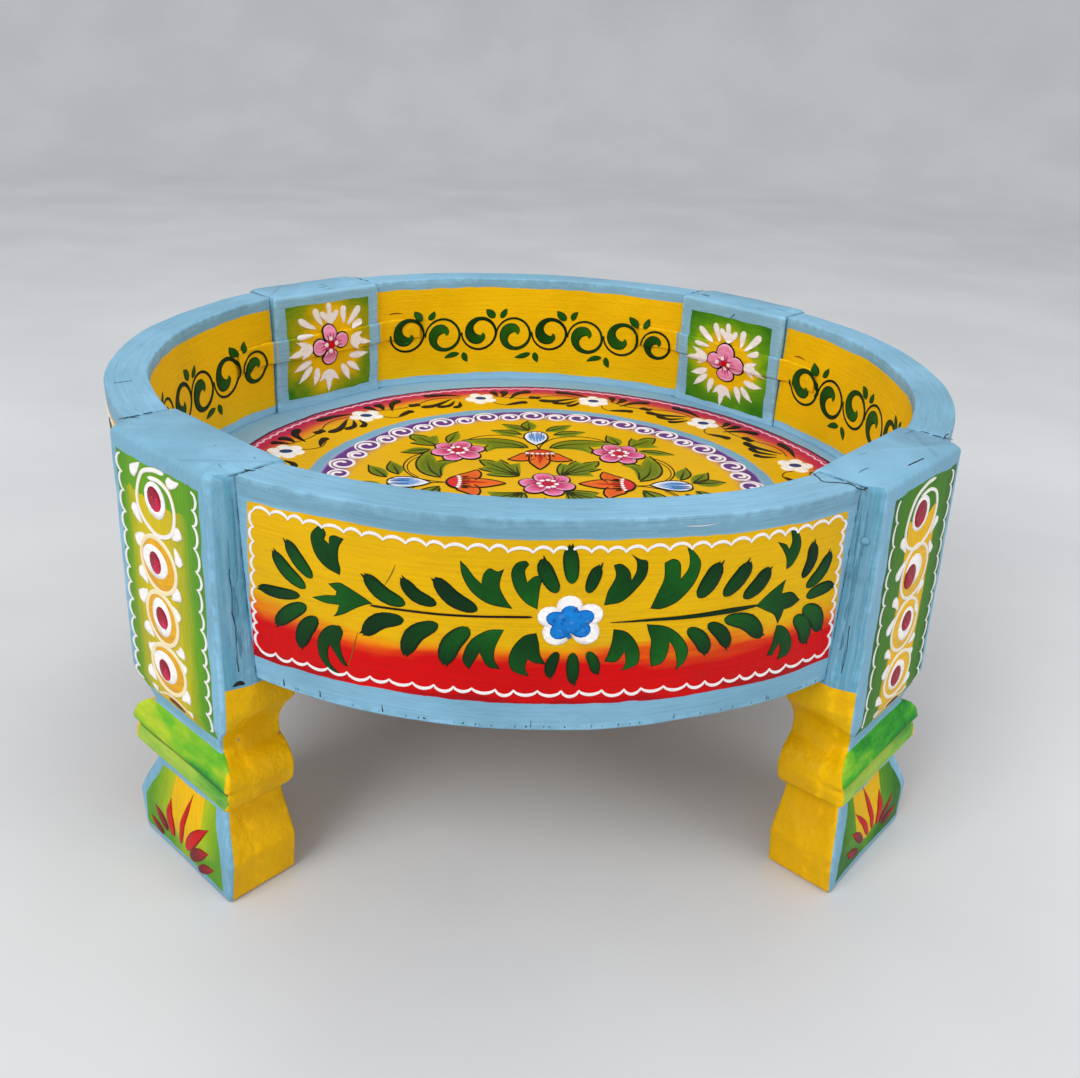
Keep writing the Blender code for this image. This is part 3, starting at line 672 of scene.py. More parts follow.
def faced_outwards(mesh):
    """Turns every face of a mesh of closed shapes outwards."""
    shape = bmesh.new()
    shape.from_mesh(mesh)
    bmesh.ops.recalc_face_normals(shape, faces=shape.faces)
    for face in shape.faces:
        face.smooth = True
    shape.to_mesh(mesh)
    shape.free()


def new_object(name, data):
    """A new object, linked to the scene."""
    item = bpy.data.objects.new(name, data)
    bpy.context.scene.collection.objects.link(item)
    return item


def add_piece(name, mesh, slot, *nodes):
    """A finished piece that rides on the table and stands for the CAD nodes named."""
    piece = new_object(name, mesh)
    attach(piece, "root")
    if nodes:
        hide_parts(*nodes)


def loop_faces(levels, around):
    """Quads between loops of points, then the two end faces."""
    faces = []
    for level in range(levels - 1):
        for k in range(around):
            after = (k + 1) % around
            low, high = level * around, (level + 1) * around
            faces.append((low + k, low + after, high + after, high + k))
    faces.append(tuple(reversed(range(around))))
    faces.append(tuple((levels - 1) * around + k for k in range(around)))
    return faces


def leg_kind(side, z):
    """Which paint a leg has on one side at a height."""
    if side == "outer":
        if z > SHOULDER_BOTTOM:
            return "panel"
        return "blue" if z > BEAD_TOP - 0.0004 else "bead" if z > BAND_BOTTOM - 0.002 else "foot"
    if side == "inner":
        return "post" if z > RIM_BOTTOM else "yellow"
    return "flank" if z > RIM_BOTTOM - 0.002 else "yellow"


def build_leg(place, paints):
    sections = [leg_section(row) for row in LEG_ROWS]
    around = len(sections[0][0])
    sides = sections[0][1]
    points = np.array([(u, v, row[0]) for row, section in zip(LEG_ROWS, sections) for u, v in section[0]])
    edges = [mark for section in sections for mark in section[2]]
    faces = loop_faces(len(LEG_ROWS), around)
    kinds, flat = [], []
    for face in faces:
        z = points[list(face)].mean(axis=0)[2]
        if len(face) > 4:
            kind = "blue" if z > BEAD_TOP else "yellow"
        else:
            kind = leg_kind(sides[face[0] % around], z)
        kinds.append(kind)
        for corner in face:
            u, v, height = points[corner]
            across = -v if kind == "post" else v if kind in ("panel", "bead", "foot") else u + v
            flat.append((across, height))
    room = uneven(turned(points, LEG_ANGLES[place]))
    mesh = plain_mesh("leg_" + place, room, faces, paints, kinds, flat, edges)
    add_piece("painted_leg_" + place, mesh, "leg_paint", "leg_" + place)


def rim_outline():
    """The rim's section, outer face down and inner face up: radius and height, and the side of each point."""
    foot = RIM_OUTER - RIM_DRAFT
    corners = np.array(
        [(RIM_OUTER, TABLE_HEIGHT), (foot, RIM_BOTTOM), (RIM_INNER, RIM_BOTTOM), (RIM_INNER, TABLE_HEIGHT)]
    )
    points, marks = eased_ring(corners, [side[2] for side in RIM_SIDES], RIM_EASE, (0.33, 0.67))
    return points, [RIM_SIDES[k][step is None] for k, step in marks]


def build_rim(place, paints):
    outline, sides = rim_outline()
    around = len(outline)
    inwards = outline.mean(axis=0) - outline
    tight = outline + inwards / np.linalg.norm(inwards, axis=1)[:, None] * 0.0005
    shares = [-1.0] + list(np.linspace(-0.9965, 0.9965, 130)) + [1.0]
    points, edges, angles = [], [], []
    for share in shares:
        for k, (radius, z) in enumerate(tight if abs(share) == 1.0 else outline):
            angle = share * (QUARTER - math.asin(SEAM_HALF / radius))
            points.append((radius * math.cos(angle), radius * math.sin(angle), z))
            angles.append(angle)
            corner = min(abs(z - TABLE_HEIGHT), abs(z - RIM_BOTTOM)) < 0.0036 and sides[k] != "blue"
            edges.append(1.0 if corner or abs(share) > 0.99 else 0.0)
    points = np.array(points)
    faces = [tuple(reversed(face)) for face in loop_faces(len(shares), around)]
    kinds, flat = [], []
    for face in faces:
        kind = "blue" if len(face) > 4 else sides[face[-1] % around]
        kinds.append(kind)
        for corner in face:
            across = -angles[corner] * RIM_INNER if kind == "inside" else angles[corner] * RIM_OUTER
            flat.append((across, np.hypot(*points[corner][:2]) if kind == "blue" else points[corner][2]))
    room = uneven(turned(points, RIM_ANGLES[place]))
    mesh = plain_mesh("rim_" + place, room, faces, paints, kinds, flat, edges)
    add_piece("painted_rim_" + place, mesh, "rim_paint", "rim_" + place)


def strap_rise(t):
    """How far a strap lifts the paint at a height, easing off past its edges."""
    away = np.abs(t - STRAP_Z) - STRAP_HALF
    return (STRAP_THICK + 0.0008) * np.clip(1 - away / 0.0040, 0.0, 1.0)


def build_strap(place, paints):
    """A thin iron strip bent over the post's two steps, with the bumps of its four nails."""
    landing = math.asin((SEAM_HALF + 0.009) / RIM_INNER)
    post_u = INNER_FACE + lean(STRAP_Z) - 0.0005
    half = [(post_u, v, "post", -v) for v in np.linspace(0.0, POST_HALF - 0.001, 30)]
    start = np.array((post_u + 0.0003, POST_HALF + 0.0005))
    end = RIM_INNER * np.array((math.cos(landing), math.sin(landing)))
    for f in (0.0, 0.25, 0.5, 0.75, 1.0):
        u, v = start + (end - start) * f
        half.append((u, v, "blue" if f == 0.0 else "inside", (QUARTER - math.atan2(v, u)) * RIM_INNER))
    for angle in np.linspace(landing, STRAP_END, 22)[1:]:
        radius = RIM_INNER - 0.0003
        u, v = radius * math.cos(angle), radius * math.sin(angle)
        half.append((u, v, "inside", (QUARTER - angle) * RIM_INNER))
    path = [(u, -v, kind, -across) for u, v, kind, across in reversed(half[1:])] + half
    spots = np.array([(u, v) for u, v, _, _ in path])
    runs = np.gradient(spots, axis=0)
    inwards = np.stack([-runs[:, 1], runs[:, 0]], axis=1) / np.linalg.norm(runs, axis=1)[:, None]
    h, b = STRAP_HALF, STRAP_THICK
    outline = [(0.0, -h), (b * 0.6, -h), (b, -h + 0.0006)]
    outline += [(b, z) for z in np.linspace(-h + 0.002, h - 0.002, 12)]
    outline += [(b, h - 0.0006), (b * 0.6, h), (0.0, h)]
    nail_angle = STRAP_END - NAIL_END / RIM_INNER
    nails = [(post_u, -NAIL_OFFSET), (post_u, NAIL_OFFSET)]
    nails += [(RIM_INNER * math.cos(nail_angle), side * RIM_INNER * math.sin(nail_angle)) for side in (-1, 1)]
    points, edges = [], []
    for spot, inward in zip(spots, inwards):
        for rise, z in outline:
            for nail in nails if rise == b else ():
                away = math.hypot(math.hypot(spot[0] - nail[0], spot[1] - nail[1]), z)
                rise += NAIL_BUMP * max(0.0, 1 - (away / NAIL_REACH) ** 2)
            u, v = spot + inward * rise
            points.append((u, v, STRAP_Z + z))
            edges.append(1.0 if abs(z) > h - 0.001 else 0.0)
    points = np.array(points)
    around = len(outline)
    faces = loop_faces(len(path), around)
    kinds = [path[face[0] // around][2] for face in faces]
    flat = [(path[corner // around][3], points[corner][2]) for face in faces for corner in face]
    room = uneven(turned(points, LEG_ANGLES[place]))
    mesh = plain_mesh("strap_" + place, room, faces, paints, kinds, flat, edges)
    faced_outwards(mesh)
    nodes = [f"strap_nail_{place}_{k}" for k in range(1, 5)]
    add_piece("painted_strap_" + place, mesh, "strap_paint", "strap_" + place, *nodes)


def build_board(paint):
    """The ground coat over the four planks: one smooth disc, flat beside each post."""
    around, rings = 288, 60
    post_reach = INNER_FACE + lean(BOARD_TOP) + 0.0015
    edge = []
    for k in range(around):
        angle = math.tau * k / around
        limit = RIM_INNER + 0.0015
        for degrees in LEG_ANGLES.values():
            away = (angle - math.radians(degrees) + math.pi) % math.tau - math.pi
            if abs(away) < math.asin(SEAM_HALF / RIM_INNER) + 0.01:
                limit = min(limit, post_reach / math.cos(away))
        edge.append((limit * math.cos(angle), limit * math.sin(angle)))
    points = []
    for ring in range(rings + 1):
        share = (ring + 0.02) / (rings + 0.02)
        points += [(x * share, y * share, BOARD_TOP + BOARD_COAT) for x, y in edge]
    points += [(x, y, BOARD_TOP - 0.0008) for x, y in edge]
    faces = loop_faces(rings + 2, around)
    flat = [points[corner][:2] for face in faces for corner in face]
    kinds = ["board"] * len(faces)
    mesh = plain_mesh("board_coat", uneven(points), faces, {"board": paint}, kinds, flat, [0.0] * len(points))
    faced_outwards(mesh)
    add_piece("painted_board_coat", mesh, "board_paint")


# Where a painted sheet's points lie: across, up and above the ground coat, to the room
def on_rim_outside(degrees):
    def lay(s, t, h):
        radius = RIM_OUTER - RIM_DRAFT * (TABLE_HEIGHT - t) / (TABLE_HEIGHT - RIM_BOTTOM) + h
        angle = s / RIM_OUTER
        return turned(np.stack([radius * np.cos(angle), radius * np.sin(angle), t], axis=1), degrees)
    return lay


def on_rim_inside(degrees):
    def lay(s, t, h):
        strapped = np.abs(s) > (QUARTER - STRAP_END) * RIM_INNER - 0.003
        radius = RIM_INNER - h - np.where(strapped, strap_rise(t), 0.0)
        angle = -s / RIM_INNER
        return turned(np.stack([radius * np.cos(angle), radius * np.sin(angle), t], axis=1), degrees)
    return lay


def on_leg_outside(degrees):
    def lay(s, t, h):
        u = np.interp(t, LEG_ROWS[:, 0], LEG_ROWS[:, 2]) + h
        return turned(np.stack([u, s, t], axis=1), degrees)
    return lay


def on_flank(degrees, hand):
    """The strip of a post's flank beside the rim: across goes from the rim to the outer face."""
    def lay(s, t, h):
        reach = OUTER_FACE + lean(t) - FLANK_START
        slope = np.hypot(reach, FACE_INSET)
        u = FLANK_START + (s * reach + h * FACE_INSET) / slope
        v = hand * (POST_HALF + (h * reach - s * FACE_INSET) / slope)
        return turned(np.stack([u, v, t], axis=1), degrees)
    return lay


def on_post_inside(degrees):
    def lay(s, t, h):
        u = INNER_FACE + lean(t) - h - strap_rise(t)
        return turned(np.stack([u, -s, t], axis=1), degrees)
    return lay


def on_level(z):
    def lay(s, t, h):
        return np.stack([s, t, z + h], axis=1)
    return lay


def stroke_tree():
    """Sweeps a brush tip along chains of edges, at each point's half width, into closed strokes of paint."""
    tree = bpy.data.node_groups.new("brush_strokes", "GeometryNodeTree")
    inputs = {"Chains": "Geometry", "Brush tip": "Object", "Paint": "Material", "Fineness": "Int"}
    for name, kind in inputs.items():
        tree.interface.new_socket(name, in_out="INPUT", socket_type="NodeSocket" + kind)
    tree.interface.new_socket("Strokes", in_out="OUTPUT", socket_type="NodeSocketGeometry")
    nodes = Nodes(tree)
    entry = tree.nodes.new("NodeGroupInput")
    chains = nodes.add("GeometryNodeMeshToCurve", {0: entry.outputs["Chains"]})
    level = nodes.add("GeometryNodeSetCurveNormal", {0: chains}, mode="Z_UP")
    tip = nodes.add("GeometryNodeObjectInfo", {"Object": entry.outputs["Brush tip"]}, out="Geometry")
    tip_line = nodes.add("GeometryNodeMeshToCurve", {0: tip})
    width = nodes.add("GeometryNodeInputNamedAttribute", {"Name": "half_width"}, data_type="FLOAT")
    inputs = {"Curve": level, "Profile Curve": tip_line, "Scale": width, "Fill Caps": True}
    swept = nodes.add("GeometryNodeCurveToMesh", inputs)
    finer = nodes.add("GeometryNodeSubdivideMesh", {"Mesh": swept, "Level": entry.outputs["Fineness"]})
    whole = nodes.add("GeometryNodeRealizeInstances", {0: finer})
    painted = nodes.add("GeometryNodeSetMaterial", {"Geometry": whole, "Material": entry.outputs["Paint"]})
    nodes.add("NodeGroupOutput", {"Strokes": painted})
    return tree


def tip_object():
    """The brush tip: a flat crowned outline, with how far across and how high each point is."""
    mesh = bpy.data.meshes.new("brush_tip")
    count = len(BRUSH_TIP)
    joins = [(k, (k + 1) % count) for k in range(count)]
    mesh.from_pydata([(x, y * 0.02, 0.0) for x, y in BRUSH_TIP], joins, [])
    keep_values(mesh, {"across": [x for x, _ in BRUSH_TIP], "crown": [y for _, y in BRUSH_TIP]})
    return new_object("brush_tip", mesh)


# How a stroke's half width goes from its start, 0, to its end, 1
BLADE_SHARES = (0.0, 0.04, 0.12, 0.3, 0.55, 0.8, 0.93, 1.0)
BLADE_WIDTHS = (0.1, 0.45, 0.7, 0.92, 1.0, 0.88, 0.6, 0.2)
FLAME_SHARES = (0.0, 0.06, 0.2, 0.45, 0.7, 0.88, 1.0)
FLAME_WIDTHS = (0.3, 0.6, 0.88, 1.0, 0.72, 0.25, 0.05)
BLUNT_SHARES = (0.0, 0.1, 0.4, 0.75, 0.92, 1.0)
BLUNT_WIDTHS = (0.2, 0.45, 0.8, 1.0, 0.85, 0.3)
STROKE_SHAPES = {
    "leaf": lambda a: np.sin(np.pi * a ** 0.8) ** 0.75,
    "blade": lambda a: np.interp(a, BLADE_SHARES, BLADE_WIDTHS),
    "flame": lambda a: np.interp(a, FLAME_SHARES, FLAME_WIDTHS),
    "blunt": lambda a: np.interp(a, BLUNT_SHARES, BLUNT_WIDTHS),
    "petal": lambda a: np.sqrt(np.clip(1 - (2 * a - 1) ** 2, 0, 1)),
    "line": lambda a: np.clip(np.minimum(a, 1 - a) * 30 + 0.4, 0, 1),
    "comma": lambda a: np.sqrt(np.clip(a * 9, 0, 1)) * (1 - a) ** 0.75,
    "drop": lambda a: np.sqrt(np.clip((1 - a) * 5, 0, 1)) * np.clip(a * 1.25, 0, 1) ** 0.7,
    "even": np.ones_like,
}


def smooth(path, closed, per_span=10):
    """A curve through points."""
    spots = np.array(path, float)
    if closed:
        spots = np.vstack([spots[-1:], spots, spots[:2]])
    else:
        spots = np.vstack([2 * spots[:1] - spots[1:2], spots, 2 * spots[-1:] - spots[-2:-1]])
    f = np.linspace(0, 1, per_span, endpoint=False)[:, None]
    spans = []
    for a, b, c, d in zip(spots, spots[1:], spots[2:], spots[3:]):
        square, cube = 2 * a - 5 * b + 4 * c - d, 3 * b - 3 * c + d - a
        spans.append(0.5 * (2 * b + (c - a) * f + square * f ** 2 + cube * f ** 3))
    if not closed:
        spans.append(spots[-2:-1])
    return np.vstack(spans)


def bent(start, end, bend):
    """A path between two points that bows to the left of its direction."""
    start, end = np.array(start, float), np.array(end, float)
    run = end - start
    left = np.array((-run[1], run[0])) / max(np.linalg.norm(run), 1e-6)
    return [start, (start + end) / 2 + left * bend, end]


def between(first, second, share):
    """A colour between two colours."""
    return [a + (b - a) * share for a, b in zip(first, second)]


def heading(angle):
    """A step of one in a direction."""
    return np.array((math.cos(angle), math.sin(angle)))


def joined(arcs):
    """A ring of arcs, each with the next one's start for its end."""
    return [[*arc, after[0]] for arc, after in zip(arcs, [*arcs[1:], arcs[0]])]


class Sheet:
    """Brush strokes, patches and blots on a flat sheet, in millimetres."""

    def __init__(self, seed):
        self.chance = random.Random(seed)
        self.points, self.joins, self.patches, self.blots = [], [], [], []
        self.values = {"half_width": [], "shade": [], "border": [], "along": [], "pick": [], "lift": []}
        self.shift, self.angle, self.flip = np.zeros(2), 0.0, 1.0

    def at(self, x=0.0, y=0.0, angle=0.0, flip=False):
        """Sets where the next strokes go: mirrored, turned in degrees, then moved."""
        self.shift = np.array((x, y), float)
        self.angle = math.radians(angle)
        self.flip = -1.0 if flip else 1.0

    def placed(self, spots):
        c, s = math.cos(self.angle), math.sin(self.angle)
        return np.array(spots, float) * (self.flip, 1.0) @ np.array(((c, s), (-s, c))) + self.shift

    def stroke(self, path, half_width, shade, shape="leaf", end=None, border=None, layer=0,
               closed=False, curved=True):
        """One stroke along a path. A path that isn't curved may have a half width for each point."""
        spots = smooth(path, closed) if curved else np.array(path, float)
        share = np.linspace(0, 1, len(spots))
        if curved:
            ring = np.vstack([spots, spots[:1]]) if closed else spots
            length = np.concatenate([[0], np.cumsum(np.linalg.norm(np.diff(ring, axis=0), axis=1))])
            share = np.linspace(0, 1, int(np.clip(length[-1] / 2.2, 7, 90)) + 1)
            if shape not in ("line", "even"):
                share = (1 - np.cos(np.pi * share)) / 2
            if closed:
                share = share[:-1]
            spots = np.stack([np.interp(share * length[-1], length, ring[:, k]) for k in (0, 1)], axis=1)
        widths = np.maximum(np.asarray(half_width) * STROKE_SHAPES[shape](share), 0.08)
        first, count = len(self.points), len(spots)
        self.points += [(x * MM, y * MM, 0.0) for x, y in self.placed(spots)]
        self.joins += [(first + k, first + k + 1) for k in range(count - 1)]
        if closed:
            self.joins.append((first + count - 1, first))
        border = between(mixed(0, 0, 0), shade, 0.62) if border is None else border
        pick = self.chance.random()
        for a, width in zip(share, widths):
            colour = between(shade, shade if end is None else end, a ** 2.2)
            row = (width * MM, colour, list(border), a, pick, layer * LAYER)
            for values, value in zip(self.values.values(), row):
                values.append(value)

    def dot(self, x, y, radius, shade, layer=0, border=None, tall=1.0):
        path = [(x - radius, y), (x, y), (x + radius, y)]
        self.stroke(path, radius * tall, shade, "petal", border=border, layer=layer)

    def inked(self, path, half_width, shade, shape, layer, border=None, end=None, rim=0.75, above=1):
        """A stroke with a dark outline."""
        start, finish = np.array(path[0], float), np.array(path[-1], float)
        ahead = (finish - start) / np.linalg.norm(finish - start) * rim
        wider = [start - ahead] + [np.array(spot, float) for spot in path[1:-1]] + [finish + ahead]
        self.stroke(wider, half_width + rim, INK, shape, border=INK, layer=layer)
        self.stroke(path, half_width, shade, shape, end=end, border=border, layer=layer + above)

    def patch(self, arcs, heart, shade, border, layer=0, inked=()):
        """A shape between arcs that each run on to the next, shaded from its heart to its border."""
        arcs = joined(arcs)
        outline = self.placed(np.vstack([smooth(arc, False, 5)[:-1] for arc in arcs]))
        heart = self.placed([heart])[0]
        self.patches.append((outline, heart, shade, border, layer * LAYER, self.chance.random()))
        for k in inked:
            self.stroke(arcs[k], 0.75, INK, "line", layer=layer + 2)

    def blot(self, arcs, shade, end, border, layer=0):
        """A shape of any outline between such arcs, its brush marks running on from its first point."""
        outline = self.placed(np.vstack([smooth(arc, False, 5)[:-1] for arc in joined(arcs)]))
        self.blots.append((outline, shade, end, border, layer * LAYER, self.chance.random()))

    def draw(self, low, high):
        return self.chance.uniform(low, high)

    def nudge(self, amount):
        return self.draw(-amount, amount)

    def near(self, spot, amount):
        return (spot[0] + self.nudge(amount), spot[1] + self.nudge(amount))


def keep_values(mesh, values):
    """Stores values for each point on a mesh: colours have four numbers, the others one."""
    for key, rows in values.items():
        rows = np.array(rows, np.float32)
        if rows.ndim == 2:
            mesh.attributes.new(key, "FLOAT_COLOR", "POINT").data.foreach_set("color", rows.ravel())
        else:
            mesh.attributes.new(key, "FLOAT", "POINT").data.foreach_set("value", rows)


def lay_sheet(name, sheet, surface, slot, fineness=0):
    """Sweeps a sheet's strokes, lays them on a surface, and adds them as one piece."""
    chains = bpy.data.meshes.new(name + "_chains")
    chains.from_pydata(sheet.points, sheet.joins, [])
    keep_values(chains, sheet.values)
    holder = new_object(name + "_chains", chains)
    sweep = holder.modifiers.new("Strokes", "NODES")
    sweep.node_group = STROKES
    settings = {"Brush tip": TIP, "Paint": BRUSH_PAINT, "Fineness": fineness}
    for item in STROKES.interface.items_tree:
        if item.name in settings:
            sweep[item.identifier] = settings[item.name]
    graph = bpy.context.evaluated_depsgraph_get()
    mesh = bpy.data.meshes.new_from_object(holder.evaluated_get(graph))
    bpy.data.objects.remove(holder)
    mesh.name = name
    count = len(mesh.vertices)
    spots = np.empty(count * 3, np.float32)
    mesh.vertices.foreach_get("co", spots)
    spots = spots.reshape(-1, 3).astype(float)
    read = {}
    for key in ("crown", "lift", "half_width"):
        read[key] = np.empty(count, np.float32)
        mesh.attributes[key].data.foreach_get("value", read[key])
    body = np.clip(read["half_width"] / (1.6 * MM), 0.45, 1.0)
    high = read["lift"] + 0.00006 + PAINT_THICK * read["crown"] * body
    height = np.where(read["crown"] > 0.01, high, -PAINT_SINK)
    room = uneven(surface(spots[:, 0], spots[:, 1], height))
    mesh.vertices.foreach_set("co", room.astype(np.float32).ravel())
    faced_outwards(mesh)
    add_piece(name, mesh, slot)


def lay_shapes(name, points, faces, values, surface, slot):
    """Lays closed shapes on a surface, as one piece. Across and up are millimetres, heights metres."""
    spots = np.array(points)
    room = uneven(surface(spots[:, 0] * MM, spots[:, 1] * MM, spots[:, 2]))
    mesh = bpy.data.meshes.new(name)
    mesh.from_pydata([tuple(spot) for spot in room], [], faces)
    mesh.materials.append(BRUSH_PAINT)
    keep_values(mesh, values)
    faced_outwards(mesh)
    add_piece(name, mesh, slot)


def lay_patches(name, sheet, surface, slot):
    """Builds a sheet's patches as thin closed shapes on a surface, and adds them as one piece."""
    points, faces = [], []
    values = {"shade": [], "border": [], "across": [], "along": [], "pick": []}
    for outline, heart, shade, border, lift, pick in sheet.patches:
        first, count = len(points), len(outline)
        top = lift + PAINT_THICK
        rings = ((0.45, top), (0.82, top), (0.97, top - 0.00004), (1.0, lift), (1.0, -PAINT_SINK))
        points.append((*heart, top))
        values["across"].append(0.0)
        for share, height in rings:
            points += [(*spot, height) for spot in heart + (outline - heart) * share]
            values["across"] += [share] * count
        points.append((*heart, -PAINT_SINK))
        values["across"].append(1.0)
        total = len(points) - first
        values["along"] += [0.5 + 1.4 * math.sin(math.tau * (k - 1) / count) for k in range(total)]
        values["shade"] += [list(shade)] * total
        values["border"] += [list(border)] * total
        values["pick"] += [pick] * total
        for k in range(count):
            after = (k + 1) % count
            faces.append((first, first + 1 + k, first + 1 + after))
            for ring in range(len(rings) - 1):
                low, high = first + 1 + ring * count, first + 1 + (ring + 1) * count
                faces.append((low + k, high + k, high + after, low + after))
            last = first + 1 + (len(rings) - 1) * count
            faces.append((last + k, first + total - 1, last + after))
    lay_shapes(name, points, faces, values, surface, slot)


def filled_outline(outline):
    """Fills a closed outline: its own points, then points inside it, and the triangles between them."""
    after = np.roll(outline, -1, axis=0)
    run = after - np.roll(outline, 1, axis=0)
    turn = np.sign(np.sum(outline[:, 0] * after[:, 1] - after[:, 0] * outline[:, 1]))
    inwards = np.stack([-run[:, 1], run[:, 0]], axis=1) / np.linalg.norm(run, axis=1)[:, None] * turn
    low, high = outline.min(axis=0), outline.max(axis=0)
    grid = [(x, y) for x in np.arange(low[0], high[0], 2.5) for y in np.arange(low[1], high[1], 2.5)]
    points = list(outline)
    for spots, least in ((outline + inwards, 0.7), (np.array(grid), 2.0)):
        for spot in spots:
            crossed = (outline[:, 1] > spot[1]) != (after[:, 1] > spot[1])
            here, there = outline[crossed], after[crossed]
            climb = (spot[1] - here[:, 1]) / (there[:, 1] - here[:, 1])
            meets = here[:, 0] + climb * (there[:, 0] - here[:, 0])
            inside = np.sum(meets > spot[0]) % 2 == 1
            if inside and np.min(np.linalg.norm(np.array(points) - spot, axis=1)) > least:
                points.append(spot)
    corners = [Vector(spot) for spot in points]
    filled_in = geometry.delaunay_2d_cdt(corners, [], [list(range(len(outline)))], 1, 1e-6)
    origins = [origin[0] for origin in filled_in[3]]
    return np.array(points), [tuple(origins[k] for k in face) for face in filled_in[2]]


def lay_blots(name, sheet, surface, slot):
    """Builds a sheet's blots as thin closed shapes on a surface, and adds them as one piece."""
    points, faces = [], []
    values = {"shade": [], "border": [], "across": [], "along": [], "pick": []}
    for outline, shade, end, border, lift, pick in sheet.blots:
        first, count = len(points), len(outline)
        spots, triangles = filled_outline(outline)
        reach = outline.mean(axis=0) - outline[0]
        reach = reach / np.linalg.norm(reach)
        far = np.clip((spots - outline[0]) @ reach / 26.0, 0.0, 1.0)
        wide = np.clip((spots - outline[0]) @ np.array((-reach[1], reach[0])) / 14.0, -0.5, 0.5)
        wide[:count] = np.where(wide[:count] < 0, -1.0, 1.0)
        heights = np.full(len(spots), lift + PAINT_THICK)
        heights[:count] = lift
        points += [(*spot, height) for spot, height in zip(spots, heights)]
        points += [(*spot, -PAINT_SINK) for spot in spots]
        for key, value in (("across", wide), ("along", far)):
            values[key] += [*value, *value]
        values["shade"] += [between(shade, end, share) for share in [*far, *far]]
        for key, value in (("border", list(border)), ("pick", pick)):
            values[key] += [value] * (2 * len(spots))
        under = first + len(spots)
        for face in triangles:
            faces.append(tuple(first + k for k in face))
            faces.append(tuple(under + k for k in reversed(face)))
        for k in range(count):
            after = (k + 1) % count
            faces.append((under + k, under + after, first + after, first + k))
    lay_shapes(name, points, faces, values, surface, slot)


def leaf(sheet, base, tip, half_width, bend):
    """A broad green brush leaf that ends in a few dry flicks of the brush."""
    shade = between(LEAF, LEAF_LIGHT, 0.8 * sheet.chance.random())
    path = bent(base, tip, bend)
    sheet.stroke(path, half_width, shade, "blade", end=LEAF, border=LEAF_DARK, layer=1)
    ahead = (path[2] - path[1]) / np.linalg.norm(path[2] - path[1])
    side = np.array((-ahead[1], ahead[0])) * half_width * sheet.chance.choice((-1, 1))
    for hand, longest in ((0.55, 3.2), (-0.1, 1.2)):
        root = path[2] - ahead * 3.0 + side * hand * 0.5
        reach = path[2] + ahead * sheet.draw(0.3, 1.0) * longest + side * hand * 0.6
        sheet.stroke([root, (root + reach) / 2, reach], 1.2, LEAF, "comma", border=LEAF_DARK, layer=1)


def scallops(sheet, start, end, count, depth, half_width, sag=0.0, tick=0.0):
    """White scallops that bulge to the right of their direction, with cusps, or short ticks, between them."""
    base = smooth(bent(start, end, sag), False, 20)
    share = np.linspace(0, 1, len(base))
    run = np.array(end, float) - np.array(start, float)
    right = np.array((run[1], -run[0])) / np.linalg.norm(run)
    cuts = np.cumsum([1.0 + sheet.nudge(0.2) for _ in range(count)])
    cuts = np.concatenate([[0.0], cuts / cuts[-1]])
    for low, high in zip(cuts, cuts[1:]):
        deep = depth * (1 + sheet.nudge(0.2))
        path, widths = [], []
        for f in np.linspace(0, 1, 9):
            bulge = math.sin(math.pi * f) ** 0.65
            where = low + (high - low) * (f * 1.04 - 0.02)
            spot = np.array([np.interp(where, share, base[:, k]) for k in (0, 1)])
            path.append(spot + right * (deep * bulge - tick * (f == 1.0)))
            widths.append(half_width * (0.5 + 0.5 * bulge))
        sheet.stroke(path, widths, WHITE, "even", border=SHADED_WHITE, layer=2, curved=False)


def petal_ring(sheet, x, y, count, inner, outer, half_width, shade, border, layer, start=90.0, shape="petal"):
    """Petals around a point."""
    for k in range(count):
        angle = math.radians(start + 360 * k / count + sheet.nudge(3))
        way = heading(angle)
        path = [np.array((x, y)) + way * far for far in (inner, (inner + outer) / 2, outer)]
        sheet.stroke(path, half_width * (1 + sheet.nudge(0.06)), shade, shape, border=border, layer=layer)


# The outer panel of a rim segment: base and tip, half width and bow of each single leaf
RIM_LEAVES = (
    (-79, 226.5, -100, 240.5, 5, 3), (-62.5, 229, -80.5, 241.5, 4.2, 3), (-41, 227.5, -63, 244, 5, 3),
    (-0.5, 239, -9, 258, 4.4, 1), (7, 244, 4.5, 265.5, 4.3, 0), (15.5, 238.5, 20, 254, 3.7, 0),
    (74.5, 233, 84.5, 252.5, 5.4, -1), (89.5, 232, 103, 250.5, 5.2, -1), (102, 228.5, 116, 245, 5.4, -2),
    (-80, 217, -102.5, 204, 5, -4), (-62, 217.5, -80.5, 196, 5.2, -4), (-45.5, 216.5, -59, 193, 5.8, -3),
    (1, 203.5, -3, 188.5, 3.4, -1), (9, 203, 10, 184, 3.7, 0), (17, 203.5, 22.5, 190, 3.3, 1),
    (71, 214.5, 83.5, 196.5, 4.6, 2), (82.5, 216, 96.5, 198.5, 4.4, 2), (92, 217.5, 117.5, 200.5, 5.4, 4),
    (-130.5, 231.5, -145, 250.5, 4.6, 1), (-135, 224.5, -154.5, 241.5, 4.8, 2),
    (-139, 219, -167, 216.5, 3.8, 1), (-135.5, 214, -157, 196.5, 4.8, -1),
    (-129.5, 208, -142, 186.5, 5, -2), (141.5, 232.5, 144.5, 254, 4.4, -3),
    (145.5, 225.5, 160.5, 244, 5, -3), (146.5, 219.5, 168, 221, 4.6, 1), (145.5, 213, 162.5, 192.5, 5.8, 3),
    (140, 208.5, 151.5, 187.5, 5.4, 3),
)
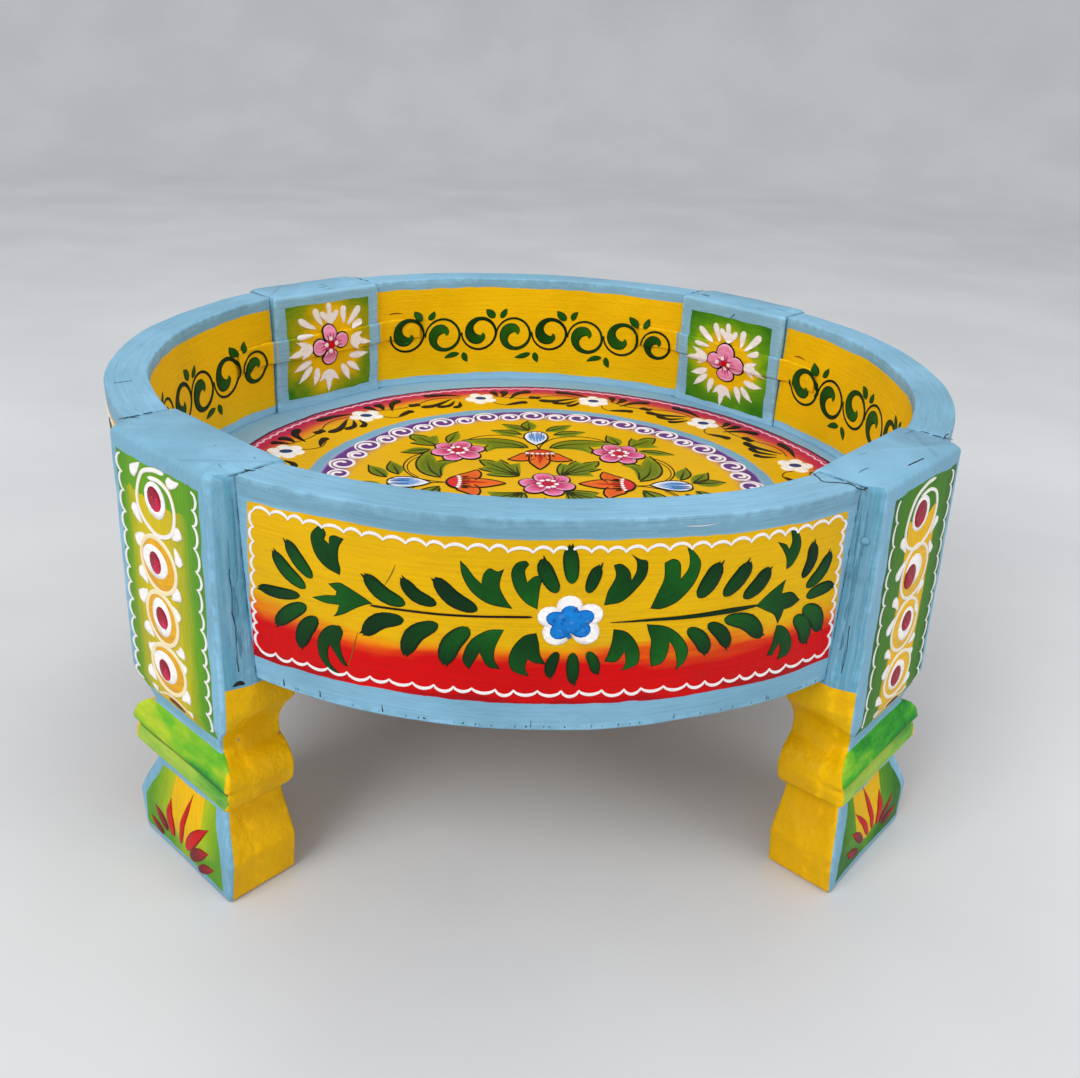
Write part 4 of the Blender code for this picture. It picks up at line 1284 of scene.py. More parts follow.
# Forked leaves: arcs from the base to the first tip, and on through each notch and tip back to the base
RIM_FORKS = (
    (((-23, 229), (-35, 231.5), (-44, 238), (-49, 247)), ((-50, 255.5), (-46.5, 252), (-43, 247)),
     ((-39, 243), (-38, 248.5), (-35, 252), (-31, 250.5)),
     ((-27.5, 252), (-29, 247), (-29.5, 241.5), (-26.5, 234.5))),
    (((-10.5, 229), (-17, 233), (-22, 240.5), (-24, 249.5), (-21.5, 255.5), (-17, 257)),
     ((-15, 255), (-17, 251)), ((-16, 244.5), (-12.5, 248)), ((-7, 249), (-9, 244), (-10, 236))),
    (((24, 231), (25.5, 239), (29, 247.5)), ((27.5, 254.5), (31.5, 255), (36, 251)),
     ((37.5, 245.5), (39.5, 251), (39, 256.5)),
     ((36, 260.5), (41, 257.5), (45, 256), (45, 248), (40, 240), (33, 233))),
    (((48.5, 228.5), (51.5, 237), (54.5, 246)), ((54, 255), (58.5, 257), (62.5, 254)),
     ((63.5, 245), (67, 251), (67, 257)),
     ((65, 263), (69.5, 260), (73.5, 254), (73, 246.5), (69.5, 239), (62.5, 231.5), (54.5, 228))),
    (((-27, 216.5), (-35, 216), (-43, 211), (-47.5, 204), (-49, 196)), ((-45.5, 191), (-43, 196)),
     ((-40, 202), (-37.5, 196), (-34.5, 193)), ((-29, 192.5), (-32, 198), (-32, 204), (-30, 210))),
    (((-10.5, 215), (-17, 213), (-22.5, 206), (-24.5, 198), (-22, 191.5)), ((-13.5, 188.5), (-15.5, 194)),
     ((-14.5, 199), (-11, 197)), ((-5, 196), (-8, 202), (-9, 209))),
    (((30, 217), (37, 215), (43, 208), (45.5, 200), (44, 194)), ((36, 191), (38, 196)),
     ((37, 203), (33, 197)), ((26.5, 197.5), (28, 202), (29.5, 209))),
    (((47.5, 219), (58.5, 217), (66.5, 211), (72, 202), (71.5, 194)),
     ((66.5, 188), (66.5, 194), (64.5, 202)), ((61.5, 207), (61, 200), (58.5, 194)),
     ((52.5, 192), (51, 200), (51, 208), (49, 214))),
    (((128, 241), (127, 248), (123.5, 254)), ((119, 259.5), (125, 257)), ((128, 253.5), (129, 258)),
     ((126.5, 265.5), (131.5, 264), (135.5, 257), (135.5, 250), (132, 243))),
    (((127.5, 206), (132.5, 204), (137.5, 199), (141, 191), (139.5, 184)), ((131.5, 182), (132.5, 188)),
     ((132, 193), (129.5, 190)), ((127.5, 186),), ((123.5, 187), (126, 194), (126.5, 200))),
    (((111, 221.5), (114.5, 225), (120.5, 229.5)), ((129, 234.5),), ((128, 226), (135.5, 225)),
     ((142, 218.5), (136.5, 215.5)), ((131, 215), (130, 211)), ((128, 206.5), (124.5, 213), (118.5, 217))),
    (((-96.5, 223.5), (-102, 227), (-111, 231.5), (-115, 232.5)), ((-121, 230.5),), ((-116.5, 227),),
     ((-117, 224.5), (-124, 223)), ((-131.5, 220), (-124, 218.5)), ((-115.5, 219), (-117, 214.5)),
     ((-119.5, 211), (-113, 214), (-106, 219), (-100, 222.5))),
    (((-114, 237), (-122, 240), (-127.5, 246), (-130, 254), (-129, 259)), ((-124, 264), (-121, 260)),
     ((-122, 256),), ((-119.5, 254), (-119, 258), (-116, 259.5)),
     ((-111, 258.5), (-114, 253), (-114.5, 246), (-113.5, 241))),
    (((-116, 206), (-122, 205), (-127.5, 200), (-130.5, 193), (-130, 184), (-125, 177)),
     ((-116.5, 174.5), (-123, 180.5), (-124.5, 187)), ((-123, 193), (-120, 188), (-116, 182.5)),
     ((-112.5, 181.5), (-115.5, 188), (-116.5, 195), (-114.5, 202))),
)
# Petals of the rim's flower: direction in degrees, then reach and half width in white and in blue
RIM_FLOWER = (
    (94, 15.8, 7.0, 10.2, 5.2), (22, 17.8, 6.8, 13.0, 5.0), (-36, 17.6, 7.6, 12.2, 5.4),
    (-137, 16.8, 7.8, 12.8, 5.4), (164, 17.8, 6.6, 13.2, 5.0),
)
# Long cracks in a rim's outer face
RIM_CRACKS = (((-83.5, 249), (-86, 243), (-90, 236)), ((-106, 204), (-109, 193), (-113, 179)))


def rim_outside_sheet(seed, flip, drift):
    """White scallops, a stem with leaves to each side, a blue and white flower, and cracks in the wood."""
    sheet = Sheet(seed)
    sheet.at(flip=flip)
    for base_s, base_z, tip_s, tip_z, half_width, bend in RIM_LEAVES:
        leaf(sheet, sheet.near((base_s, base_z), drift), sheet.near((tip_s, tip_z), drift), half_width, bend)
    for arcs in RIM_FORKS:
        move = np.array(sheet.near((0, 0), drift))
        shade, end = (between(LEAF, LEAF_LIGHT, sheet.chance.random()) for _ in range(2))
        sheet.blot([[np.array(spot) + move for spot in arc] for arc in arcs], shade, end, LEAF_DARK, layer=1)
    sheet.stroke([(-98, 222.5), (-55, 223.5), (-13, 224.5)], 0.6, INK, "line", layer=2)
    sheet.stroke([(28, 221), (70, 222), (113, 222)], 1.7, LEAF, "drop", border=LEAF_DARK, layer=2)
    heart = np.array((7.0, 221.5))
    for degrees, *sizes in RIM_FLOWER:
        way = heading(math.radians(degrees))
        for k, (shade, border) in enumerate(((WHITE, SHADED_WHITE), (FLOWER_BLUE, mixed(12, 74, 160)))):
            inner, reach, half_width = (3.0, 0.5)[k], sizes[2 * k], sizes[2 * k + 1]
            petal = [heart + way * far for far in (inner, (inner + reach) / 2, reach)]
            sheet.stroke(petal, half_width, shade, "petal", border=border, layer=2 + 2 * k)
    sheet.dot(*heart, 8, WHITE, layer=2)
    sheet.dot(*heart, 7, FLOWER_BLUE, layer=5, border=FLOWER_BLUE)
    for k in range(22):
        spot = heart + sheet.draw(1, 10) * heading(k * 2.4)
        dab = between(FLOWER_BLUE, DEEP_BLUE, sheet.draw(0.1, 0.6))
        if k % 3 == 0:
            dab = between(FLOWER_BLUE, BUD_BLUE, sheet.draw(0.2, 0.7))
        thick = sheet.draw(0.4, 1.6)
        sheet.stroke(bent(spot, sheet.near(spot, 3.5), 0.6), thick, dab, border=dab, layer=6)
    scallops(sheet, (165.5, 262.5), (-166.5, 262.5), 31, 3.2, 0.95, sag=1.0)
    scallops(sheet, (-166.5, 262.5), (-172, 176.5), 10, 3.0, 0.95)
    scallops(sheet, (-172, 176.5), (171.5, 176.5), 30, 3.2, 0.95, sag=3.6)
    scallops(sheet, (171.5, 176.5), (165.5, 262.5), 10, 3.0, 0.95)
    for path in RIM_CRACKS:
        sheet.stroke([sheet.near(spot, drift) for spot in path], 0.3, between(CRACK, YELLOW, 0.25))
    sheet.stroke([(62, 275), (72, 274.5), (82, 275.5)], 0.4, between(SKY, WHITE, 0.6))
    for k in range(44):
        s, z = sheet.nudge(172), 156.3
        length = sheet.draw(2.5, 5.5) if k % 6 == 0 else sheet.draw(0.5, 1.6)
        path = bent((s, z), (s + sheet.nudge(0.6), z + length), sheet.nudge(0.3))
        sheet.stroke(path, sheet.draw(0.2, 0.4), CRACK, "comma")
    for s in (-177.2, 177.2):
        z = 158.0
        while z < 270:
            length = sheet.draw(3, 12)
            path = bent((s + sheet.nudge(0.3), z), (s + sheet.nudge(0.3), z + length), sheet.nudge(0.3))
            sheet.stroke(path, sheet.draw(0.15, 0.3), between(CRACK, SKY_DEEP, 0.5))
            z += length + sheet.draw(2, 22)
    return sheet


SCROLL_STEP = 36.6
# A vine's scroll: direction in degrees, distance from its middle and half width
SCROLL = (
    (180, 18, 0.8), (270, 18, 1.2), (360, 17, 1.3), (450, 13.5, 2.1), (500, 11.5, 3.6), (545, 9.6, 5.2),
    (590, 8.6, 5.8), (630, 7.4, 5.1), (668, 6.0, 3.0), (705, 3.6, 0.5),
)


def scroll(sheet, x, y, size, way):
    """A vine's thin line that winds in to a fat green drop, under or over its middle first."""
    turns, reaches, widths = np.array(SCROLL).T
    angles = np.linspace(turns[0], turns[-1], 46)
    far = np.interp(angles, turns, reaches) * size
    a = np.radians(angles)
    path = np.stack([x + far * np.cos(a), y + way * far * np.sin(a)], axis=1)
    mood = sheet.chance.random()
    line = LEAF_DARK if mood < 0.5 else LEAF
    wide = np.interp(angles, turns, widths) * size
    drop = between(VINE_DARK, VINE_LIGHT, mood)
    sheet.stroke(path, wide, line, "even", end=drop, border=LEAF, layer=1, curved=False)


# Pairs of small leaves on the vine: base and tip from the joint of two scrolls, and half width
VINE_LEAVES_OVER = ((-2, -1, -11, 8, 4.2), (4, -1, 9.5, 8.5, 3.1))
VINE_LEAVES_UNDER = ((-1, 3, -16, -1, 2.9), (3, 4, 7.5, -6.5, 3.2))


def rim_inside_sheet(seed, drift):
    """A vine of scrolls that wind under and over in turn, with pairs of small leaves."""
    sheet = Sheet(seed)
    for k in range(8):
        way = 1 if k % 2 == 0 else -1
        x, z = -125 + SCROLL_STEP * k, 226 if way > 0 else 222
        scroll(sheet, x + sheet.nudge(drift), z + sheet.nudge(drift), 1.0 if k < 7 else 0.86, way)
        leaves, level = (VINE_LEAVES_OVER, 240.5) if way > 0 else (VINE_LEAVES_UNDER, 200.5)
        joint = x + SCROLL_STEP / 2
        for base_s, base_z, tip_s, tip_z, half_width in leaves if k < 7 else ():
            base = (joint + base_s, level + base_z)
            tip = sheet.near((joint + tip_s, level + tip_z), 1.2)
            path = bent(base, tip, sheet.nudge(1.6))
            sheet.stroke(path, half_width, VINE_DARK, border=LEAF, layer=2)
    sheet.stroke([(-143, 247), (-136, 248), (-128, 247)], 0.6, mixed(120, 30, 10))
    return sheet


# Two styles of leg panel, in turn from leg to leg; the deep style's darker greens are partly painted shade.
# Each oval: middle, half sizes, white disc, red dot
LEG_STYLES = {
    "light": {
        "panel": (-46, 42), "middle": -2, "column": (-6, 20, 20), "column_paint": mixed(206, 182, 8),
        "green": GRASS, "edge_green": mixed(76, 142, 24), "oval": mixed(224, 164, 4), "outline": CREAM,
        "scallops": (-41, 36), "waves": (13, 4.0, 1.1), "petal": 1.25, "line": 1.4, "shift": 0,
        "spiral": (-3, 248), "disc": (-2.5, 249.5, 11, 11.5), "dot": (-2.5, 250.5, 7.7),
        "dot_end": mixed(222, 14, 76),
        "ovals": (
            ((-6, 208), (19.3, 17), (-9, 209, 14, 10.5), (-8.5, 208.5, 7)),
            ((-6.5, 173), (17, 16.5), (-6.5, 174, 10.5, 12.8), (-6, 174, 7)),
            ((-4.5, 139.5), (19, 15.3), (-7.5, 140, 13.3, 10.4), (-8, 138, 7)),
        ),
    },
    "deep": {
        "panel": (-38, 47), "middle": 4.5, "column": (6, 19, 2.5), "column_paint": YELLOW,
        "green": mixed(66, 122, 24), "edge_green": mixed(40, 100, 24), "oval": YELLOW,
        "outline": mixed(246, 238, 220), "scallops": (-30.5, 41.5), "waves": (11, 3.0, 0.95), "petal": 0.9,
        "line": 1.1, "shift": 9, "spiral": (4, 247.5), "disc": (2, 250, 11, 11.5), "dot": (1, 250, 8.8),
        "dot_end": mixed(176, 6, 44),
        "ovals": (
            ((5.5, 211), (18, 17.5), (3.5, 212.5, 11, 11), (-0.5, 209.5, 8.4)),
            ((4, 175), (17.8, 17.2), (5.5, 175, 10.2, 11.8), (5.5, 177, 7)),
            ((6.5, 139), (18, 15.3), (4.5, 139, 10.8, 10.4), (3.5, 138.5, 7.2)),
        ),
    },
}
# The open spiral around the topmost disc, from its middle
SPIRAL = (
    (12, 21), (0, 20), (-13, 14), (-20.5, -2), (-16, -14), (-1, -20.5), (15, -15), (20.5, -2), (17, 10),
    (7, 15), (-5, 14),
)
# White petals between the ovals: base, outer end and half width. Only the light style has the last two
OVAL_PETALS = (
    (-21, 229, -29, 240, 4), (-19, 223, -29, 213.5, 4), (13, 231, 21, 239, 3.6), (14, 226, 19, 216, 3.8),
    (-20, 190.5, -29, 199, 4), (-21, 186, -30.5, 177, 4), (7, 191, 15.5, 198, 3.8),
    (6.5, 186, 12.5, 179, 3.4), (-18.5, 156, -28, 163, 3.8), (-18.5, 152, -25, 143.5, 3.8),
    (6.5, 157, 15.5, 160.5, 3.4), (9, 152, 16.5, 146, 3.4), (-20.5, 125, -30, 131, 4),
    (-21, 120, -27, 116.5, 3), (9.5, 125, 18.5, 131, 4), (13, 119, 19, 117, 2.2),
    (-17, 268, -28.5, 259, 3.4), (24, 268, 11, 264.5, 3),
)


def leg_sheet(seed, style, drift):
    """Scallops down both sides, and a chain of ringed ovals joined by petals."""
    sheet = Sheet(seed)
    left, right = style["scallops"]
    count, depth, thick = style["waves"]
    scallops(sheet, (left, 267), (left - 1.5, 116), count, depth, thick, tick=1.2)
    scallops(sheet, (right, 116), (right, 267), 13, depth, thick, tick=0.9)
    shift = style["shift"]
    for base_s, base_z, end_s, end_z, half_width in OVAL_PETALS if style["petal"] > 1 else OVAL_PETALS[:-2]:
        base, end = (base_s + shift, base_z), sheet.near((end_s + shift, end_z), 0.8 + drift)
        path = bent(base, end, sheet.nudge(1.2))
        sheet.stroke(path, half_width * style["petal"], WHITE, "drop", border=SHADED_WHITE, layer=3)
    x, z = style["spiral"]
    swirl = [(x + s, z + t) for s, t in SPIRAL]
    sheet.stroke(swirl, style["line"], WHITE, "line", border=style["outline"], layer=4)
    for (x, z), (wide, tall), _, _ in style["ovals"]:
        ring = [(x + wide * math.cos(a), z + tall * math.sin(a)) for a in np.linspace(0, math.tau, 13)[:-1]]
        sheet.dot(x, z, wide, style["oval"], layer=2, border=style["oval"], tall=tall / wide)
        sheet.stroke(ring, style["line"], style["outline"], "even", border=WHITE, layer=4, closed=True)
    eyes = [(style["disc"], style["dot"])] + [(disc, dot) for _, _, disc, dot in style["ovals"]]
    for (disc_s, disc_z, wide, tall), (dot_s, dot_z, radius) in eyes:
        sheet.dot(disc_s, disc_z, wide, WHITE, layer=5, border=WHITE, tall=tall / wide)
        middle, reach = np.array((dot_s, dot_z)), radius * np.array((0.4, -0.92))
        path = [middle - reach, middle, middle + reach]
        sheet.stroke(path, radius, DOT_RED, "petal", end=style["dot_end"], border=DOT_EDGE, layer=6)
        for _ in range(3):
            spot = sheet.near((dot_s, dot_z - 1.5), radius * 0.4)
            glint = between(style["dot_end"], mixed(214, 60, 96), 0.6)
            sheet.stroke(bent(spot, sheet.near(spot, 3), 0.8), 0.7, glint, border=glint, layer=8)
    sheet.stroke([(-20 + shift, 115), (-1 + shift, 117.5), (19 + shift, 115)], 3.0, YELLOW, "petal", layer=3)
    sheet.stroke([(-23 + shift, 115), (-4 + shift, 121.5), (17 + shift, 117.5)], 1.1, CREAM, "line", layer=4)
    sheet.stroke([(-9 + shift, 117), (0 + shift, 117), (9 + shift, 115.5)], 2.6, MAROON, "petal", layer=5)
    return sheet


# Flame-shaped petals on the feet: base, tip, half width, bow and paint
FOOT_PETALS = {
    "light": (
        (-31, 5, -46, 12, 3.4, 0.5, MAROON), (-26, 11, -39.5, 24, 4.2, -0.5, MAROON),
        (-18.5, 11, -22, 38, 4.4, 1, RED), (-10, 10.5, 1, 50, 2.6, 0.5, RED),
        (-3.5, 10.5, 22, 38, 4.8, 1.5, RED), (2, 6, 24, 23, 4.8, 1, MAROON),
        (11.5, 2.5, 30, 13.5, 3.6, 0.5, MAROON),
    ),
    "deep": (
        (-10, 9, -26, 17, 4.2, 0.5, MAROON), (-4, 14, -22, 30, 3.4, -1, MAROON),
        (3, 15, -16, 41, 2.6, -1.5, RED), (9, 16, -2, 53, 2.8, -1, RED), (17, 16, 18, 41, 4.4, -1, RED),
        (21, 14, 37, 29, 4, -1, MAROON), (26, 10, 45, 14.5, 3.6, -0.5, MAROON),
    ),
}


def foot_sheet(seed, petals, shift):
    """A fan of red and maroon petals."""
    sheet = Sheet(seed)
    sheet.at(x=shift, y=1.5)
    for base_s, base_z, tip_s, tip_z, half_width, bend, shade in petals:
        path = bent(sheet.near((base_s, base_z), 0.5), sheet.near((tip_s, tip_z), 0.8), bend)
        sheet.stroke(path, half_width, shade, "flame", end=FLAME_TIP, border=FLAME_EDGE, layer=1)
    return sheet


# White strokes on a post's inner face, from the flower's middle: inner end, outer end, half width
POST_STROKES = (
    (-8, 20, -15.5, 36, 3), (-15, 18, -33.5, 29, 2.8), (-19, 13, -36, 14, 2.2), (16.5, 19, 17.5, 35, 3),
    (21, 17, 36, 34, 3.2), (24.5, 13.5, 36.5, 17.5, 2.8), (-21, -11.5, -40, -18, 3),
    (-20.5, -16.5, -35, -30.5, 2.9), (-14, -19, -18, -34.5, 3.2), (22, -13, 43, -14.5, 3),
    (19.5, -19, 34, -31, 2.8), (13, -20, 20.5, -36, 3.2),
)
# Arrow heads between them: inner point, long tip, two side tips
POST_ARROWS = (
    ((1.5, 20.5), (-0.5, 39), (-9, 32), (9.5, 32)), ((-20.5, 1), (-46, -3), (-38, 9), (-32.5, -7.5)),
    ((22.5, 2.5), (45, -4), (36, 8.5), (32, -8.5)), ((-1, -23), (-3, -43.5), (-12, -32.5), (9.5, -34)),
)
# The flower's petals, from its middle: middle of the petal, half sizes, and its white dot
POST_PETALS = (
    ((12, 0.5), (9, 8.4), (5, -0.5)), ((-11.8, 0.5), (8, 7.8), (-8.4, 0)),
    ((0.4, -11.2), (9.4, 5.8), (0, -5)), ((0.4, 10.6), (9.6, 9), (-2.3, 5)),
)
ROUND_PETALS = (
    ((11.5, 4.5), (7, 7), (5, 2.5)), ((-13, 0.5), (7, 7.5), (-6, 2)), ((-1, -10), (7.5, 7), (-1.5, -4)),
    ((-1.5, 12.5), (7, 7.5), (-1, 7.5)),
)


def post_sheet(seed, x, z, petals, heart, drift):
    """Four pink petals around a red heart, in a ring of white strokes and arrow heads."""
    sheet = Sheet(seed)
    sheet.at(x=x, y=z)
    for inner_s, inner_z, outer_s, outer_z, half_width in POST_STROKES:
        path = bent((inner_s, inner_z), sheet.near((outer_s, outer_z), drift), sheet.nudge(1))
        shape = "blunt" if outer_z > 0 else "flame"
        sheet.stroke(path, half_width * 1.15, WHITE, shape, border=SHADED_WHITE, layer=2)
    for inner, tip, *side_tips in POST_ARROWS:
        inner, tip = np.array(inner, float), np.array(sheet.near(tip, drift * 0.6))
        shape = "blunt" if tip[1] > 20 else "flame"
        shaft = bent(inner + (tip - inner) * 0.3, tip, 0)
        sheet.stroke(shaft, 3.0, WHITE, shape, border=SHADED_WHITE, layer=3)
        for side_tip in side_tips:
            path = bent(inner, side_tip, sheet.nudge(0.6))
            sheet.stroke(path, 3.0, WHITE, shape, border=SHADED_WHITE, layer=3)
            fill = inner + (np.array(side_tip) * 0.4 + tip * 0.6 - inner) * 0.62
            sheet.stroke(bent(inner, fill, 0), 3.2, WHITE, "drop", border=WHITE, layer=3)
    for order, (middle, (wide, tall), _) in enumerate(petals):
        middle = np.array(middle)
        away = (middle - heart) / np.linalg.norm(middle - heart)
        across = np.array((-away[1], away[0]))
        path = [middle - (wide, 0), middle, middle + (wide, 0)]
        sheet.inked(path, tall, PINK, "petal", 3 if order < 2 else 5, border=PALE_PINK, rim=1.2, above=3)
        for k in (-1, 0, 1):
            root = heart + away * 3 + across * k * 2
            tip = root + away * (9.5 - 2 * abs(k) + sheet.nudge(1.5)) + across * k * 1.5
            streak = [root, (root + tip) / 2, tip]
            sheet.stroke(streak, 1.5, ROSE, "comma", end=DEEP_PINK, border=DEEP_PINK, layer=10)
    for _, _, dot in petals:
        sheet.dot(dot[0], dot[1], 2.1, WHITE, layer=12, border=SHADED_WHITE)
    sheet.dot(heart[0], heart[1], 3.6, RED, layer=11, border=mixed(168, 6, 34))
    return sheet


def pink_flower(sheet, x, y, start):
    """Six outlined pink petals with a deep heart and a ring of white dots."""
    for k in range(6):
        angle = math.radians(start + 60 * k + sheet.nudge(4))
        way = heading(angle)
        far = 22.5 + sheet.nudge(0.8)
        path = [np.array((x, y)) + way * reach for reach in (3.5, 13, far)]
        half_width, layer = 8.4 + sheet.nudge(0.4), 4 + 2 * (k % 2)
        sheet.inked(path, half_width, ROSE, "petal", layer, border=PALE_PINK, end=PINK, rim=1.25)
        for spread in (-0.28, 0.0, 0.28):
            ray = heading(angle + spread)
            streak = [np.array((x, y)) + ray * reach for reach in (6, 10, 15 + sheet.nudge(1.5))]
            sheet.stroke(streak, 0.8, ROSE, "comma", layer=9)
    sheet.dot(x, y, 8.2, ROSE, layer=9, border=mixed(216, 96, 146))
    sheet.dot(x, y, 5.0, CRIMSON, layer=10, border=DARK_RED)
    for k in range(8):
        angle = math.radians(45 * k + sheet.nudge(8))
        sheet.dot(x + 7.2 * math.cos(angle), y + 7.2 * math.sin(angle), 2.1, WHITE, layer=11)


def oval_leaf(sheet, base, tip, half_width, layer=1):
    """A pointed olive leaf with an inked side and a vein."""
    base, tip = np.array(base, float), np.array(tip, float)
    run = tip - base
    side = np.array((-run[1], run[0])) / np.linalg.norm(run) * half_width
    left = [base, base + run * 0.22 + side * 0.8, base + run * 0.55 + side]
    right = [tip, base + run * 0.55 - side, base + run * 0.22 - side * 0.8]
    shade = between(OLIVE, OLIVE_DARK, 0.3 + 0.3 * sheet.chance.random())
    sheet.patch([left, right], base + run * 0.45, shade, OLIVE, layer, inked=(0,))
    sheet.stroke([base + run * f for f in (0.04, 0.35, 0.75)], 1.1, VEIN, "comma", layer=layer + 3)


# Leaves, lily and bud of the bouquet, as arcs between their points and notches
BIG_LEAF = (
    ((9, 79), (12, 87), (18, 94), (28, 99), (41, 100.5), (54, 98)), ((66, 94), (58, 89), (50, 85.5)),
    ((43, 84), (46, 78)), ((44, 68), (40, 73), (32, 77), (20, 78)),
)
INNER_LEAF = (
    ((15, 18), (13, 26), (14, 36)), ((17, 44),), ((23, 40), (26, 46)), ((30, 50),), ((35, 45), (42, 48)),
    ((49, 50), (48, 42)), ((45, 37),), ((50, 33), (43, 28)), ((39, 26), (41, 22)),
    ((43, 17), (31, 17), (23, 17)),
)
CORNER_LEAF = (
    ((79, 86), (80, 98)), ((84, 109),), ((89, 104), (96, 110)), ((105, 110), (103, 101)), ((100, 95),),
    ((105, 88), (92, 85.5)),
)
LILY_SIDE = (
    ((2, 67), (14, 66), (20, 59)), ((27, 51), (19, 48), (11, 49)), ((4, 53),),
)
LILY_MIDDLE = (
    ((-9, 63), (-9.5, 48), (-6, 38)), ((-1, 29), (4, 37), (7.5, 47)), ((8, 63), (0, 65)),
)
LILY_CUP = (((-13, 65), (-9, 71), (0, 74.5), (9, 71)), ((13, 65), (0, 61.5)))
BUD = (
    ((-2, 86), (-8, 93), (-12, 104), (-11, 113), (-6, 119)),
    ((-2, 120), (4, 119), (8, 113), (8.5, 104), (4.5, 94)),
)


def sprig(sheet, place, turn, cup):
    """One quarter of the bouquet, growing up the sheet: a lily, a bud on it, leaves and a corner flower."""
    for hand in (1, -1):
        sheet.at(*place, angle=turn, flip=hand < 0)
        stem = [(0, 74), (2, 86), (9, 99), (20, 107), (34, 110), (48, 107), (58, 100), (65, 90)]
        sheet.stroke(stem, 0.65, INK, "line")
        if turn % 180:
            sheet.stroke([(x * 0.95, y - 3) for x, y in stem[2:]], 0.45, INK, "line")
        dusk = between(OLIVE, OLIVE_DARK, 0.35 + 0.25 * sheet.chance.random())
        sheet.patch(BIG_LEAF, (28, 88), dusk, OLIVE, 1, inked=(0, 2))
        for vein in (((10, 79.5), (24, 88), (44, 92)), ((12, 79), (28, 80), (40, 76))):
            sheet.stroke(vein, 1.2, VEIN, "comma", border=OLIVE_DARK, layer=4)
        sheet.patch(LILY_SIDE, (11, 58), between(LILY, LILY_RED, 0.4), LILY, 2, inked=(0, 1))
        oval_leaf(sheet, (8, 121), (32 + sheet.nudge(1), 138), 6.2)
        oval_leaf(sheet, (14, 112), (42 + sheet.nudge(1), 121), 6.2)
    sheet.at(*place, angle=turn)
    oval_leaf(sheet, (-7, 123), (-9 + sheet.nudge(2), 149), 6.6)
    sheet.patch(LILY_MIDDLE, (-0.5, 50), between(LILY, LILY_RED, 0.25), LILY, 3, inked=(0, 1))
    sheet.stroke([(0, 64), (0, 54), (-1, 42)], 4.2, LILY_RED, "comma", border=LILY, layer=6)
    sheet.patch(LILY_CUP, (0, 67.5), cup, between(cup, DARK_RED, 0.3), 6, inked=(0,))
    for k in range(7):
        x = -10.5 + 3.5 * k
        path = [(x, 62.5), (x * 1.08, 58), (x * 1.15, 55.5 + 0.8 * abs(3 - k) - 2 * (k % 2))]
        sheet.stroke(path, 0.95, INK, "comma", layer=8)
    for k in range(6):
        x = -10.5 + 4.2 * k
        sheet.dot(x, 64 + 0.012 * x * x, 1.7, WHITE, layer=9)
    sheet.patch(BUD, (-2, 103), between(WHITE, BUD_BLUE, 0.45), WHITE, 2, inked=(0, 1))
    for x, low, high in ((-7, 98, 114), (-4, 95, 117), (-1, 94, 118), (2, 95, 116), (5, 99, 113)):
        path = [(x * 0.85, low), (x, (low + high) / 2), (x * 1.05, high)]
        sheet.stroke(path, 1.2, BUD_BLUE, border=mixed(130, 176, 224), layer=4)
    for x in (-5.5, 0.5, 3.5):
        sheet.stroke([(x, 118), (x * 1.02, 111), (x * 0.9, 103)], 0.5, DEEP_BLUE, "comma", layer=6)
    sheet.patch(CORNER_LEAF, (90, 95), between(OLIVE, OLIVE_DARK, 0.45), OLIVE, 1, inked=(0, 2, 3))
    sheet.stroke([(79, 86), (88, 94), (98, 103)], 1.1, VEIN, "comma", border=OLIVE_DARK, layer=4)
    sheet.patch(INNER_LEAF, (30, 32), between(OLIVE, OLIVE_DARK, 0.5), OLIVE, 1, inked=(0, 2, 4, 5, 7))
    for tip in ((19, 38), (31, 44), (43, 44), (44, 32), (38, 20)):
        sheet.stroke([(16, 18), ((16 + tip[0]) / 2, (19 + tip[1]) / 2), tip], 1.0, VEIN, "comma", layer=4)
    oval_leaf(sheet, (71, 91), (62, 115), 6.5)
    oval_leaf(sheet, (87, 77), (116, 70), 5.4)
    pink_flower(sheet, 68, 68, 50)


BAND_RADIUS = 219.0
# Comma leaves between two daisies: distance along the band, distance out from its middle, half width
BAND_COMMAS = (
    (((14, 22), (16, 14), (17, 6.5)), 2.9), (((25, 22), (25, 13), (22, 4)), 3.4),
    (((49, 21), (37, 14), (27, -3)), 3.1), (((56, -6), (70, -7), (93, 6)), 3.0),
    (((70, -12), (83, -12), (94, 0)), 2.6), (((85, -19), (93, -15), (98, -3)), 2.4),
    (((71, 22), (88, 19), (104, 12)), 3.0), (((44, -12), (34, -14), (22, -19)), 2.9),
    (((47, 3), (53, 1), (58, 6)), 3.0), (((58, -1), (54, 2), (49, 6)), 2.6),
)
BAND_STEMS = (
    ((10, -6), (12, -14), (22, -20), (36, -17)), ((56, 3), (72, 10), (86, 11), (101, 7)),
    ((14, 8), (34, 0), (52, 1)),
)


